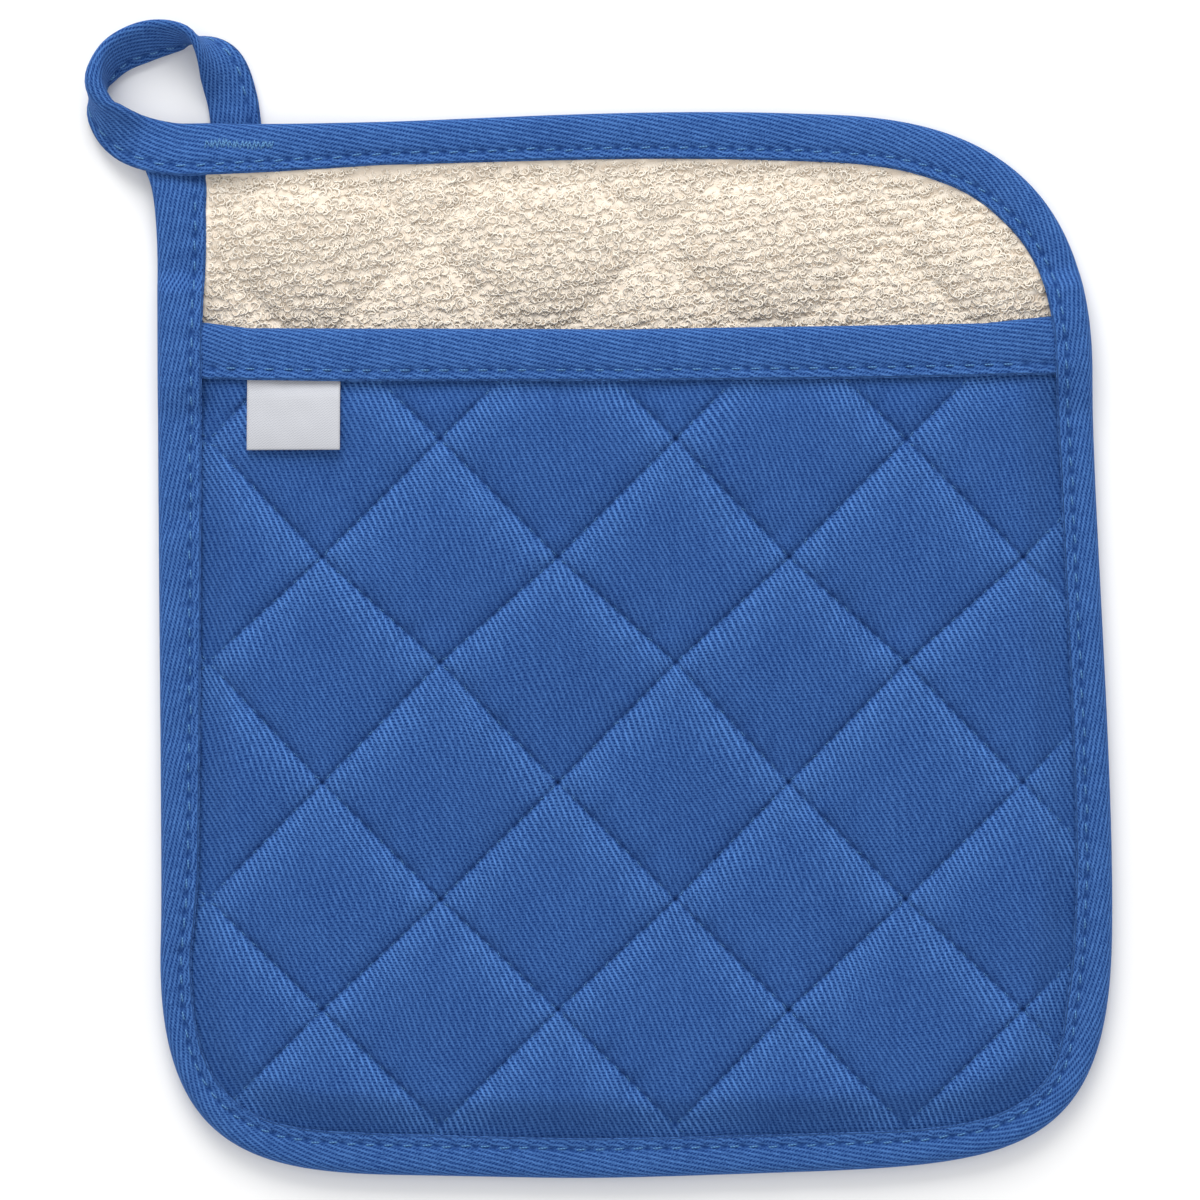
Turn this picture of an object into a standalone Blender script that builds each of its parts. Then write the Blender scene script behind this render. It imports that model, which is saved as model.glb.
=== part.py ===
"""A pocket pot holder of quilted cloth, lying on its back, with its hanging loop at the top left.

Two quilted panels are laid on each other and bound together round their edge with folded tape.
The front panel is shorter and bound along its top edge, so that it makes a pocket for the hand.
The binding runs on past the top left corner into a loop whose end is sewn behind the top edge.

Sizes and places are in millimetres, and each mesh is turned into metres as it is written.
+X is to the right, +Y towards the top edge and +Z up from the surface it lies on.
"""

import bmesh
import bpy
import numpy as np
from mathutils import Vector
from mathutils.geometry import delaunay_2d_cdt

MM = 0.001
MIDDLE = (0.27, -0.03)  # of the whole pot holder's box, which becomes the origin

# Cloth and clearances
TAPE = 1.1  # one layer of folded binding tape
GAP = 0.3  # between pieces that touch
END_CLEAR = 0.36  # between the ends of the pocket's binding and the edge binding
MOUTH_CLEAR = 0.35  # between the pocket's binding and the panel inside it
SEAM_PANEL = 1.2  # a panel pressed flat inside the binding
SEAM_CLEAR = 0.4  # between the two panels where the binding presses them together
EDGE_INSET = 1.6  # from the outline to the panels' own edges, inside the tape's fold
ROLL = 9.0  # how far from the binding a panel takes to swell to its full thickness

# Heights above the surface
BACK_UNDER_SEAM = TAPE + GAP
BACK_OVER_SEAM = BACK_UNDER_SEAM + SEAM_PANEL
BACK_VALLEY = 3.0  # top of the back panel along a quilting line
BACK_CROWN = 4.6  # top of the back panel in the middle of a diamond
BACK_GROOVE = 0.9  # how far a quilting line is drawn up on the underside
POCKET_UNDER_SEAM = BACK_OVER_SEAM + SEAM_CLEAR
POCKET_UNDER = 5.1  # underside of the pocket panel away from its seams
POCKET_SEAM = 1.1  # the pocket panel pressed flat inside a binding
POCKET_VALLEY = 1.9  # its thickness along a quilting line
POCKET_CROWN = 4.0  # its thickness in the middle of a diamond
MOUTH_SHIFT = TAPE + GAP  # the pocket's edge rides this much higher, on its own binding

# The pocket's opening: the panel bows up from the back panel
MOUTH_BOW = 8.0
BOW_MIDDLE_X = 6.0
BOW_HALF_WIDTH = 91.0
BOW_DEPTH = 135.0
BOW_POWER = 1.3
MOUTH_FADE = 7.0  # below its binding, before the pocket panel has its full thickness
MOUTH_LAG = 2.0  # the edge binding comes down this much later than the pocket under it
MOUTH_STEP = (5.5, 10.5)  # above the mouth, where the edge binding comes down to one panel

# The corner that the loop's end lies under
LIFT = 2.7
LIFT_MIDDLE = (-77.0, 97.0)
LIFT_FULL = 12.0
LIFT_END = 40.0

# Edge of the pot holder, down the left side, along the bottom, up the right side and back
# along the top: where it passes, the way it heads there, and how far it runs straight on
# before and after (the handles of a cubic curve).
#            x       y    heading  before  after
OUTLINE = (
    (-95.6, 89.2, -68.0, 0.0, 4.0),
    (-93.9, 72.0, -90.0, 3.0, 60.0),
    (-93.2, -72.0, -92.0, 13.0, 46.0),
    (-42.0, -122.4, -1.0, 31.0, 39.0),
    (32.0, -122.1, 2.0, 39.0, 54.0),
    (109.1, -72.0, 89.0, 49.0, 36.0),
    (104.9, 48.0, 90.0, 28.0, 56.0),
    (42.0, 103.4, 178.0, 19.0, 46.0),
    (-83.5, 101.2, 178.0, 34.0, 0.0),
)
STATIONS = 150  # cross-sections of the binding along that edge
LEFT_SIDE = slice(0, 37)  # the cross-sections that lie along the left side
RIGHT_SIDE = slice(90, 112)  # and along the right side
SQUARE_END = 16.0  # the binding's two ends are cut square to the sides over this length

# Finished width of the edge binding by the distance along it
#   along  width
BINDING_WIDTH = (
    (0.0, 12.1),
    (7.0, 10.9),
    (31.0, 9.8),
    (112.0, 8.8),
    (148.0, 8.2),
    (165.0, 6.8),
    (187.0, 6.8),
    (211.0, 7.9),
    (236.0, 9.0),
    (300.0, 8.6),
    (340.0, 8.3),
    (375.0, 7.4),
    (396.0, 7.5),
    (414.0, 8.9),
    (447.0, 7.8),
    (528.0, 7.5),
    (552.0, 8.1),
    (575.0, 8.3),
    (592.0, 9.8),
    (612.0, 10.4),
    (660.0, 10.2),
    (703.0, 9.7),
    (735.0, 9.3),
    (752.0, 10.0),
    (773.0, 11.2),
)

# The pocket's mouth: top and lower edge of its binding across the pot holder
#     x     top   lower
MOUTH = (
    (-86.0, 59.4, 46.9),
    (-73.0, 57.5, 46.4),
    (-50.0, 57.3, 46.0),
    (5.0, 57.0, 46.0),
    (50.0, 57.8, 46.5),
    (80.0, 58.5, 47.2),
    (97.0, 60.5, 47.6),
)
MOUTH_SECTIONS = 38
MOUTH_PASSES = 3  # steps in which a place on the mouth settles between the two sides

# Where quilting lines cross: column and row of each crossing, a crossing being every place
# whose column and row numbers add up to an even number.
POCKET_COLUMNS = (-107.6, -82.9, -58.7, -33.6, -8.7, 16.2, 40.2, 65.0, 89.9, 114.6)
POCKET_ROWS = (58.3, 33.9, 9.0, -13.3, -38.8, -63.6, -87.0, -111.5, -136.0)
BACK_COLUMN = 12.3
BACK_ROW = 77.3
BACK_PITCH = 24.6
BACK_CROSSINGS = 13  # columns, and rows
COLUMNS_LEFT = 6  # of them left of BACK_COLUMN
ROWS_ABOVE = 2  # of them above BACK_ROW
QUILT_POWER = 3.0  # higher: narrower grooves between flatter diamonds
PRESSED_SHARE = 0.4  # of the padding that the surface flattens under the back panel
DIAMOND_STEPS = (0.0, 0.14, 0.5, 0.86)  # points across one diamond, from line to line

# Rows of points round each panel: distance in from the binding's inner edge, and the share
# of the binding's cross-sections that has a point there (every first, every second).
RINGS = ((0.0, 1), (2.0, 1), (5.0, 2), (9.0, 2))
INNER_CLEAR = 10.5  # quilting points start this far in from the binding
MOUTH_ROWS = (4.8, 9.6, 12.0, 14.5, 17.0)  # rows below the pocket panel's top edge
ROW_CLEAR = 0.2  # those rows start this far in from the binding
POINT_SPACING = 1.6  # points closer than this to another are left out
UNDER_EVERY = 4  # the pocket's smooth underside keeps one in so many of the quilting points
NOTCH = (1.0, 0.2)  # how far the back panel's top left corner is cut back, in and down

# Rounded fold of a tape, as shares of the way to the middle of its height
FOLD_DEEP = TAPE * 0.9  # from the fold to where the tape is full height
FOLD_SHOULDER = 0.06
FOLD_TIP = 0.55

# Label
LABEL_LEFT = -74.5
LABEL_RIGHT = -54.7
LABEL_BOTTOM = 31.6
LABEL_THICK = 1.0
LABEL_CLEAR = 0.5
LABEL_ROWS = 7
LABEL_COLUMNS = 24  # places across it at which the pocket's height is looked up

# Hanging loop: the middle of the tape, how far the tape is rolled about its own run from
# lying flat, its width and its thickness.
#     x       y      z    roll  width  thick
LOOP = (
    (-83.8, 95.5, 4.6, 0.0, 11.3, 3.6),
    (-91.2, 95.7, 4.2, 0.0, 11.3, 2.8),
    (-99.2, 98.0, 4.2, 12.0, 11.0, 2.3),
    (-104.9, 102.8, 5.5, 58.0, 10.8, 2.2),
    (-107.3, 106.9, 6.0, 88.0, 10.8, 2.2),
    (-106.3, 111.0, 6.1, 105.0, 10.8, 2.2),
    (-102.7, 115.5, 5.2, 127.0, 10.8, 2.1),
    (-96.5, 118.6, 4.9, 133.0, 10.8, 2.1),
    (-90.2, 119.7, 5.6, 117.0, 10.8, 2.1),
    (-86.0, 118.9, 6.0, 90.0, 10.8, 2.1),
    (-81.0, 114.2, 4.0, 32.0, 10.8, 2.1),
    (-78.4, 107.8, 1.4, 3.0, 10.8, 2.0),
    (-77.3, 101.2, 1.05, 0.0, 10.8, 2.0),
    (-76.7, 93.2, 1.05, 0.0, 10.8, 2.0),
)
LOOP_SECTIONS = 46
CLIMB = 0.3  # how much of the run's slope the cross-sections follow
# Its cross-section: across the tape from its fold (-0.5) to its sewn edge (0.5), in shares of
# its width, and through it in shares of its thickness
LOOP_SECTION = (
    (-0.5, 0.0),
    (-0.45, 0.42),
    (-0.2, 0.5),
    (0.3, 0.5),
    (0.5, 0.40),
    (0.5, -0.40),
    (0.3, -0.5),
    (-0.2, -0.5),
    (-0.45, -0.42),
)

#  finish          colour                 roughness
FINISHES = {
    "blue_twill": ((0.030, 0.105, 0.350), 0.85),
    "terry": ((0.720, 0.650, 0.560), 0.95),
    "white_woven": ((0.700, 0.720, 0.760), 0.60),
}


def smooth(t):
    """0 at t = 0 and below, 1 at t = 1 and above, with no corner at either."""
    t = np.clip(t, 0.0, 1.0)
    return t * t * (3.0 - 2.0 * t)


def from_table(table, place, column):
    """Column of a table at a place between its rows, the first column being the place."""
    rows = np.array(table)
    return np.interp(place, rows[:, 0], rows[:, column])


def through(rows, count):
    """Catmull-Rom curve through every column of the rows, at `count` even steps."""
    rows = np.array(rows, float)
    ends = np.vstack([2 * rows[0] - rows[1], rows, 2 * rows[-1] - rows[-2]])
    place = np.linspace(0, len(rows) - 1, count)
    k = np.minimum(place.astype(int), len(rows) - 2)
    t = (place - k)[:, None]
    a, b, c, d = (ends[k + step] for step in range(4))
    return b + 0.5 * t * (c - a + t * (2 * a - 5 * b + 4 * c - d + t * (3 * b - a - 3 * c + d)))


def outline_curve(steps=120):
    """Points of the outline close together, from cubic curves between its rows."""
    rows = np.array(OUTLINE)
    heading = np.radians(rows[:, 2])
    way = np.stack([np.cos(heading), np.sin(heading)], axis=1)
    t = np.linspace(0, 1, steps)[:, None]
    curves = []
    for first, last, way_out, way_in in zip(rows[:-1], rows[1:], way[:-1], way[1:]):
        start = first[:2]
        end = last[:2]
        leave = start + first[4] * way_out
        arrive = end - last[3] * way_in
        curves.append(
            (1 - t) ** 3 * start
            + 3 * t * (1 - t) ** 2 * leave
            + 3 * t * t * (1 - t) * arrive
            + t**3 * end
        )
    return np.concatenate(curves)


def edge_stations():
    """(points on the outline, directions in from it, binding widths) at each cross-section."""
    dense = outline_curve()
    along = np.concatenate([[0], np.cumsum(np.linalg.norm(np.diff(dense, axis=0), axis=1))])
    place = np.linspace(0, along[-1], STATIONS)
    outer = np.stack([np.interp(place, along, dense[:, axis]) for axis in (0, 1)], axis=1)
    run = np.gradient(outer, axis=0)
    run /= np.linalg.norm(run, axis=1)[:, None]
    inward = np.stack([-run[:, 1], run[:, 0]], axis=1)
    start = smooth(1 - place / SQUARE_END)[:, None]
    end = smooth(1 - (along[-1] - place) / SQUARE_END)[:, None]
    inward = inward * (1 - start) + np.array([1.0, 0.0]) * start
    inward = inward * (1 - end) + np.array([0.0, -1.0]) * end
    inward /= np.linalg.norm(inward, axis=1)[:, None]
    return outer, inward, from_table(BINDING_WIDTH, place, 1)


OUTER, INWARD, WIDTH = edge_stations()
INNER = OUTER + INWARD * WIDTH[:, None]


def inside_distance(x, y):
    """Distance in from the binding's inner edge, negative under the binding."""
    x, y = np.broadcast_arrays(x, y)
    p = np.stack([np.ravel(x), np.ravel(y)], axis=1)
    a = INNER
    b = np.roll(INNER, -1, axis=0)
    side = b - a
    share = ((p[:, None] - a) * side).sum(-1) / (side**2).sum(-1)
    near = a + np.clip(share, 0, 1)[..., None] * side
    distance = np.linalg.norm(p[:, None] - near, axis=-1).min(axis=1)
    crosses = (a[:, 1] > p[:, 1:]) != (b[:, 1] > p[:, 1:])
    climb = np.where(side[:, 1] == 0, 1e-9, side[:, 1])
    crossing_x = a[:, 0] + (p[:, 1:] - a[:, 1]) * side[:, 0] / climb
    inside = (crosses & (p[:, :1] < crossing_x)).sum(axis=1) % 2 == 1
    return np.where(inside, distance, -distance).reshape(np.shape(x))


def swelling(x, y):
    """0 in the seam, 1 where a panel has its full thickness."""
    return smooth(inside_distance(x, y) / ROLL)


def padding(x, y, columns, rows):
    """0 on a quilting line, 1 in the middle of a diamond."""
    column = np.interp(x, columns, np.arange(len(columns)))
    row = np.interp(-np.asarray(y), -np.asarray(rows), np.arange(len(rows)))
    share = 1.0
    for place in ((column + row) / 2, (column - row) / 2):
        off_line = np.abs(place - np.round(place))
        share = share * (1 - (1 - 2 * off_line) ** QUILT_POWER)
    return share


BACK_COLUMNS = BACK_COLUMN + BACK_PITCH * (np.arange(BACK_CROSSINGS) - COLUMNS_LEFT)
BACK_ROWS = BACK_ROW - BACK_PITCH * (np.arange(BACK_CROSSINGS) - ROWS_ABOVE)


def back_padding(x, y):
    return padding(x, y, BACK_COLUMNS, BACK_ROWS)


def lift(x, y):
    """How far the top left corner is held off the surface by the loop's end under it."""
    away = np.hypot(x - LIFT_MIDDLE[0], y - LIFT_MIDDLE[1])
    return LIFT * smooth((LIFT_END - away) / (LIFT_END - LIFT_FULL))


def back_under(x, y):
    """Underside of the back panel: flat where it lies, drawn up along its quilting."""
    swell = swelling(x, y)
    groove = BACK_GROOVE * np.clip(1 - back_padding(x, y) / PRESSED_SHARE, 0, 1)
    return BACK_UNDER_SEAM * (1 - swell) + groove * swell + lift(x, y)


def back_over(x, y):
    """Top of the back panel, raised in diamonds."""
    swell = swelling(x, y)
    full = BACK_VALLEY + (BACK_CROWN - BACK_VALLEY) * back_padding(x, y)
    return BACK_OVER_SEAM * (1 - swell) + full * swell + lift(x, y)


def mouth_top(x):
    """y of the folded edge of the pocket's binding."""
    return from_table(MOUTH, x, 1)


def mouth_lower(x):
    """y of the lower, sewn edge of the pocket's binding."""
    return from_table(MOUTH, x, 2)


def bow(x, y):
    """How far the pocket panel stands up from the back panel, most at the mouth's middle."""
    across = np.clip(1 - ((x - BOW_MIDDLE_X) / BOW_HALF_WIDTH) ** 2, 0, 1) ** BOW_POWER
    return MOUTH_BOW * across * (1 - smooth((mouth_top(x) - y) / BOW_DEPTH))


def mouth_place(down, share):
    """Point `down` below the mouth's edge, at a share of the way across between the bindings.

    Cross-sections crowd towards the two ends, where the pocket comes down to its seams.
    """
    across = (1 - np.cos(np.pi * share)) / 2
    x = INNER[:, 0].min() * (1 - across) + INNER[:, 0].max() * across
    for _ in range(MOUTH_PASSES):
        y = mouth_top(x) - down
        x = left_inner(y) * (1 - across) + right_inner(y) * across
    return x, y


def left_inner(y):
    """x of the binding's inner edge on the left."""
    side = INNER[LEFT_SIDE][::-1]
    return np.interp(y, side[:, 1], side[:, 0])


def right_inner(y):
    """x of the binding's inner edge on the right."""
    side = INNER[RIGHT_SIDE]
    return np.interp(y, side[:, 1], side[:, 0])


def below_mouth(x, y):
    """0 within the pocket's binding, 1 where the pocket panel has its full thickness."""
    return smooth((mouth_lower(x) - y) / MOUTH_FADE)


def pocket_under(x, y):
    """Underside of the pocket panel, over the space for the hand."""
    level = POCKET_UNDER_SEAM + (POCKET_UNDER - POCKET_UNDER_SEAM) * swelling(x, y)
    return level + MOUTH_SHIFT * (1 - below_mouth(x, y)) + bow(x, y)


def pocket_over(x, y):
    """Top of the pocket panel, raised in diamonds."""
    full = POCKET_VALLEY + (POCKET_CROWN - POCKET_VALLEY) * padding(
        x, y, POCKET_COLUMNS, POCKET_ROWS
    )
    swell = swelling(x, y) * below_mouth(x, y)
    return pocket_under(x, y) + POCKET_SEAM + (full - POCKET_SEAM) * swell


def slot_over(x, y):
    """Underside of the edge binding's upper layer: low above the pocket, highest beside its mouth."""
    bare = BACK_OVER_SEAM + GAP
    with_pocket = POCKET_UNDER_SEAM + POCKET_SEAM + GAP
    full, bare_from = MOUTH_STEP
    pocket = smooth((mouth_top(x) + bare_from - y) / (bare_from - full))
    with_pocket += MOUTH_SHIFT * (1 - below_mouth(x, y + MOUTH_LAG))
    level = bare + (with_pocket - bare) * pocket
    return level + lift(x, y)


def finish(name):
    """The material of a finish, made once."""
    colour, roughness = FINISHES[name]
    material = bpy.data.materials.get(name) or bpy.data.materials.new(name)
    material.use_nodes = True
    shader = material.node_tree.nodes["Principled BSDF"]
    shader.inputs["Base Color"].default_value = (*colour, 1.0)
    shader.inputs["Roughness"].default_value = roughness
    shader.inputs["Metallic"].default_value = 0.0
    return material


def add_piece(name, points, faces, materials, terry_faces=()):
    """An object from points in millimetres, its faces turned outwards."""
    mesh = bpy.data.meshes.new(name)
    moved = np.asarray(points) - (*MIDDLE, 0.0)
    mesh.from_pydata((moved * MM).tolist(), [], faces)
    for material in materials:
        mesh.materials.append(finish(material))
    for index in terry_faces:
        mesh.polygons[index].material_index = 1
    body = bmesh.new()
    body.from_mesh(mesh)
    if body.calc_volume(signed=True) < 0:
        bmesh.ops.reverse_faces(body, faces=body.faces)
    body.to_mesh(mesh)
    body.free()
    mesh.shade_smooth()
    piece = bpy.data.objects.new(name, mesh)
    bpy.context.scene.collection.objects.link(piece)
    return piece


def spread(points, spacing=POINT_SPACING):
    """The points in their order, without any that lies too close to one kept before it."""
    kept = np.empty((0, 2))
    for point in points:
        if len(kept) == 0 or np.hypot(*(kept - point).T).min() > spacing:
            kept = np.vstack([kept, point])
    return kept


def triangles_within(edge, inner):
    """(points, triangles) of a flat region: `edge` is its boundary, anticlockwise."""
    points = np.vstack([edge, inner])
    loop = list(range(len(edge)))
    vectors = [Vector(p) for p in points.tolist()]
    found, _, faces, origin, _, _ = delaunay_2d_cdt(vectors, [], [loop], 1, 1e-6)
    assert len(found) == len(points)
    source = [first[0] for first in origin]
    return points, [[source[corner] for corner in face] for face in faces]


def add_panel(name, edge, over_points, under_points, over, under, materials):
    """A panel between two height functions, with walls between their common edges."""
    top, top_faces = triangles_within(edge, over_points)
    bottom, bottom_faces = triangles_within(edge, under_points)
    upper = np.column_stack([top, over(top[:, 0], top[:, 1])])
    lower = np.column_stack([bottom, under(bottom[:, 0], bottom[:, 1])])
    start = len(upper)
    faces = list(top_faces)
    faces += [[start + corner for corner in face[::-1]] for face in bottom_faces]
    count = len(edge)
    for k in range(count):
        after = (k + 1) % count
        faces.append([k, start + k, start + after, after])
    front = range(len(top_faces)) if len(materials) > 1 else ()
    return add_piece(name, np.vstack([upper, lower]), faces, materials, front)


def ring_points(kept):
    """Points round a panel, at each distance in RINGS, beside the cross-sections in `kept`."""
    rings = []
    for distance, every in RINGS:
        chosen = kept[::every]
        rings.append(INNER[chosen] + INWARD[chosen] * distance)
    return np.vstack(rings)


def quilting_points(columns, rows, steps=DIAMOND_STEPS):
    """Points on the quilting lines and between them, over the whole pot holder."""
    steps = np.array(steps)
    reach = len(columns) + len(rows)
    first = (np.arange(0, reach)[:, None] + steps).ravel()
    second = (np.arange(-reach, reach)[:, None] + steps).ravel()
    first, second = (grid.ravel() for grid in np.meshgrid(first, second))
    column = first + second
    row = first - second
    within = (column >= 0) & (column <= len(columns) - 1) & (row >= 0) & (row <= len(rows) - 1)
    x = np.interp(column[within], np.arange(len(columns)), columns)
    y = np.interp(row[within], np.arange(len(rows)), rows)
    clear = inside_distance(x, y) > INNER_CLEAR
    return np.stack([x[clear], y[clear]], axis=1)


def panel_edge():
    """The panels' own edge, inside the fold of the tape, cut back round the loop's root."""
    return OUTER + INWARD * EDGE_INSET


def add_back_panel():
    """The pad that lies on the surface, with twill below and terry above."""
    notch = (INNER[-1][0] + NOTCH[0], INNER[0][1] - NOTCH[1])
    edge = np.vstack([panel_edge(), notch])
    rings = ring_points(np.arange(STATIONS))
    inner = spread(np.vstack([rings, quilting_points(BACK_COLUMNS, BACK_ROWS)]))
    return add_panel(
        "back_panel", edge, inner, inner, back_over, back_under, ("blue_twill", "terry")
    )


def add_pocket_panel():
    """The shorter pad in front, up to its mouth, whose two ends reach into the binding."""
    edge = panel_edge()
    shares = np.linspace(0, 1, MOUTH_SECTIONS)
    mouth_x, mouth_y = mouth_place(EDGE_INSET, shares[::-1])
    mouth = np.stack([mouth_x, mouth_y], axis=1)
    kept = np.flatnonzero(edge[:, 1] < mouth_y.min() - POINT_SPACING)
    right, left = edge[RIGHT_SIDE], edge[LEFT_SIDE][::-1]
    corners = [
        (np.interp(at, side[:, 1], side[:, 0]), at)
        for side, at in ((right, mouth_y[0]), (left, mouth_y[-1]))
    ]
    edge = np.vstack([edge[kept], corners[:1], mouth, corners[1:]])
    low = INNER[kept][:, 1] < mouth_y.min() - POINT_SPACING
    rings = ring_points(kept[low])
    rows = [np.stack(mouth_place(EDGE_INSET + down, shares[1:-1]), axis=1) for down in MOUTH_ROWS]
    rows = np.vstack(rows)
    rows = rows[inside_distance(rows[:, 0], rows[:, 1]) > ROW_CLEAR]
    quilting = quilting_points(POCKET_COLUMNS, POCKET_ROWS)
    below = mouth_top(quilting[:, 0]) - EDGE_INSET - quilting[:, 1]
    quilting = quilting[below > MOUTH_ROWS[-1] + POINT_SPACING]
    over = spread(np.vstack([rows, rings, quilting]))
    under = spread(np.vstack([rows, rings, quilting[::UNDER_EVERY]]))
    return add_panel("pocket_panel", edge, over, under, pocket_over, pocket_under, ("blue_twill",))


def add_strip(name, rings, material):
    """A closed body from rings of points along a run, with a flat face at either end."""
    rings = np.asarray(rings)
    sections, around = rings.shape[:2]
    start = np.arange(sections - 1)[:, None] * around + np.arange(around)
    after = np.arange(sections - 1)[:, None] * around + (np.arange(around) + 1) % around
    sides = np.stack([start, after, after + around, start + around], axis=-1).reshape(-1, 4)
    faces = sides.tolist()
    faces.append(list(range(around))[::-1])
    faces.append([(sections - 1) * around + k for k in range(around)])
    return add_piece(name, rings.reshape(-1, 3), faces, (material,))


def folded_section(place, width, outside_low, slot_low, slot_high, outside_high):
    """Ring of a tape folded round an edge, from its upper free edge round to its lower one.

    place gives x and y at a distance in from the fold. The four heights are functions of
    x and y.
    """
    #  in from the fold, which height, share towards the middle height
    around = (
        (width, outside_high, 0.0),
        (width / 2, outside_high, 0.0),
        (FOLD_DEEP, outside_high, FOLD_SHOULDER),
        (0.0, outside_high, FOLD_TIP),
        (0.0, outside_low, FOLD_TIP),
        (FOLD_DEEP, outside_low, FOLD_SHOULDER),
        (width / 2, outside_low, 0.0),
        (width, outside_low, 0.0),
        (width, slot_low, 0.0),
        (TAPE, slot_low, 0.0),
        (TAPE, slot_high, 0.0),
        (width, slot_high, 0.0),
    )
    ring = []
    for inward, height, share in around:
        x, y = place(inward)
        low = outside_low(x, y)
        high = outside_high(x, y)
        middle = (low + high) / 2
        ring.append((x, y, height(x, y) + share * (middle - height(x, y))))
    return ring


def add_edge_binding():
    """Tape folded over the panels' common edge, all the way round."""

    def outside_high(x, y):
        return slot_over(x, y) + TAPE

    def slot_low(x, y):
        return lift(x, y) + TAPE

    rings = []
    for outer, inward, width in zip(OUTER, INWARD, WIDTH):

        def place(distance, outer=outer, inward=inward):
            return outer + inward * distance

        rings.append(folded_section(place, width, lift, slot_low, slot_over, outside_high))
    return add_strip("edge_binding", rings, "blue_twill")


def add_pocket_binding():
    """Tape over the pocket's top edge, from the edge binding on the left to that on the right."""

    def slot_low(x, y):
        return pocket_under(x, y) - MOUTH_CLEAR

    def outside_low(x, y):
        return slot_low(x, y) - TAPE

    def slot_high(x, y):
        return pocket_over(x, y) + MOUTH_CLEAR

    def outside_high(x, y):
        return slot_high(x, y) + TAPE

    rings = []
    for share in np.linspace(0, 1, MOUTH_SECTIONS):
        end = END_CLEAR * np.sign(0.5 - share) * (share in (0.0, 1.0))

        def place(down, share=share, end=end):
            x, y = mouth_place(down, share)
            return x + end, y

        x, y = place(0.0)
        width = y - mouth_lower(x)
        rings.append(
            folded_section(place, width, outside_low, slot_low, slot_high, outside_high)
        )
    return add_strip("pocket_binding", rings, "blue_twill")


def add_hanging_loop():
    """The tape's rounded fold, its two faces and its sewn edge, carried along the loop."""
    rows = through(LOOP, LOOP_SECTIONS)
    middle, roll, width, thick = rows[:, :3], np.radians(rows[:, 3]), rows[:, 4], rows[:, 5]
    run = np.gradient(middle, axis=0)
    run[0] = (-1.0, 0.0, 0.0)
    run[-1] = (0.0, -1.0, 0.0)
    run[:, 2] *= CLIMB
    run /= np.linalg.norm(run, axis=1)[:, None]
    level = np.cross((0.0, 0.0, 1.0), run)
    level /= np.linalg.norm(level, axis=1)[:, None]
    up = np.cross(run, level)
    across = np.cos(roll)[:, None] * level - np.sin(roll)[:, None] * up
    through_tape = np.cross(run, across)
    rings = [
        middle + across * (width * aside)[:, None] + through_tape * (thick * deep)[:, None]
        for aside, deep in LOOP_SECTION
    ]
    return add_strip("hanging_loop", np.stack(rings[::-1], axis=1), "blue_twill")


def add_label():
    """A flat woven label that lies on the highest points of the pocket under it."""
    x = np.linspace(LABEL_LEFT, LABEL_RIGHT, LABEL_COLUMNS)
    y = np.linspace(mouth_lower(x).min() - GAP, LABEL_BOTTOM, LABEL_ROWS)
    under = pocket_over(x[None, :], y[:, None]).max(axis=1) + LABEL_CLEAR
    under = np.maximum.accumulate(under)
    rings = [
        (
            (LABEL_RIGHT, at, low),
            (LABEL_LEFT, at, low),
            (LABEL_LEFT, at, low + LABEL_THICK),
            (LABEL_RIGHT, at, low + LABEL_THICK),
        )
        for at, low in zip(y, under)
    ]
    return add_strip("label", rings, "white_woven")


def main():
    """All six pieces, in a scene cleared of its objects."""
    for old in list(bpy.data.objects):
        bpy.data.objects.remove(old)
    add_back_panel()
    add_pocket_panel()
    add_pocket_binding()
    add_edge_binding()
    add_hanging_loop()
    add_label()


main()
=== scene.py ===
# %% [markdown]
# # A quilted pocket pot holder, lying on its back
#
# Two quilted pads are laid on each other and bound round the edge with folded cotton tape. The
# front pad is shorter, so it makes a pocket for the hand, and above it shows the looped terry of
# the back pad. The tape runs on past the top left corner into the loop that it hangs by.
#
# The solids of the construction come in as a fixed frame. Every piece below takes the place of
# one of them, on the same folds, with the finish of real cloth.

import bpy
import numpy as np
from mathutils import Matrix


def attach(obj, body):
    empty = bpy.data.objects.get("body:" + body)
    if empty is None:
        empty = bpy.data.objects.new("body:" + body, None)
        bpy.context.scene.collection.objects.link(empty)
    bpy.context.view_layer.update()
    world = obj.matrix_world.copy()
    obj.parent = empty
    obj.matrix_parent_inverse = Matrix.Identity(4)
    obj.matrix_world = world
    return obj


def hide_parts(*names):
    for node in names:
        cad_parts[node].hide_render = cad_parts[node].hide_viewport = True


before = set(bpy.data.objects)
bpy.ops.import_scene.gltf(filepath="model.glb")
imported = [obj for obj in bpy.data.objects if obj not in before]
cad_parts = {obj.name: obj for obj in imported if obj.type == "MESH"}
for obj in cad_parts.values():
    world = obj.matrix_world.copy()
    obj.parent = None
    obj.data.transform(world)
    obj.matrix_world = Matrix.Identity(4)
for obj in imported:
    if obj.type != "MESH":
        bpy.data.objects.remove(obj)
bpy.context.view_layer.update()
print("solids:", sorted(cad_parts))

# %% [markdown]
# ## Measures
#
# All sizes are in millimetres, as on a paper pattern laid over the real thing, and are turned
# into metres only when a mesh is written. +X is to the right, +Y towards the bound top edge and
# +Z up from the table. `MIDDLE` is the middle of the whole pot holder on that pattern, which is
# the frame's origin.

# %% Units and small helpers
MM = 0.001
MIDDLE = np.array((0.27, -0.03, 0.0))
print("middle of the pattern:", MIDDLE[:2], "mm")


def smooth(t):
    """0 below t = 0 and 1 above t = 1, and between them 3t² - 2t³, which has no corner."""
    t = np.clip(t, 0.0, 1.0)
    return t * t * (3.0 - 2.0 * t)


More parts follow.
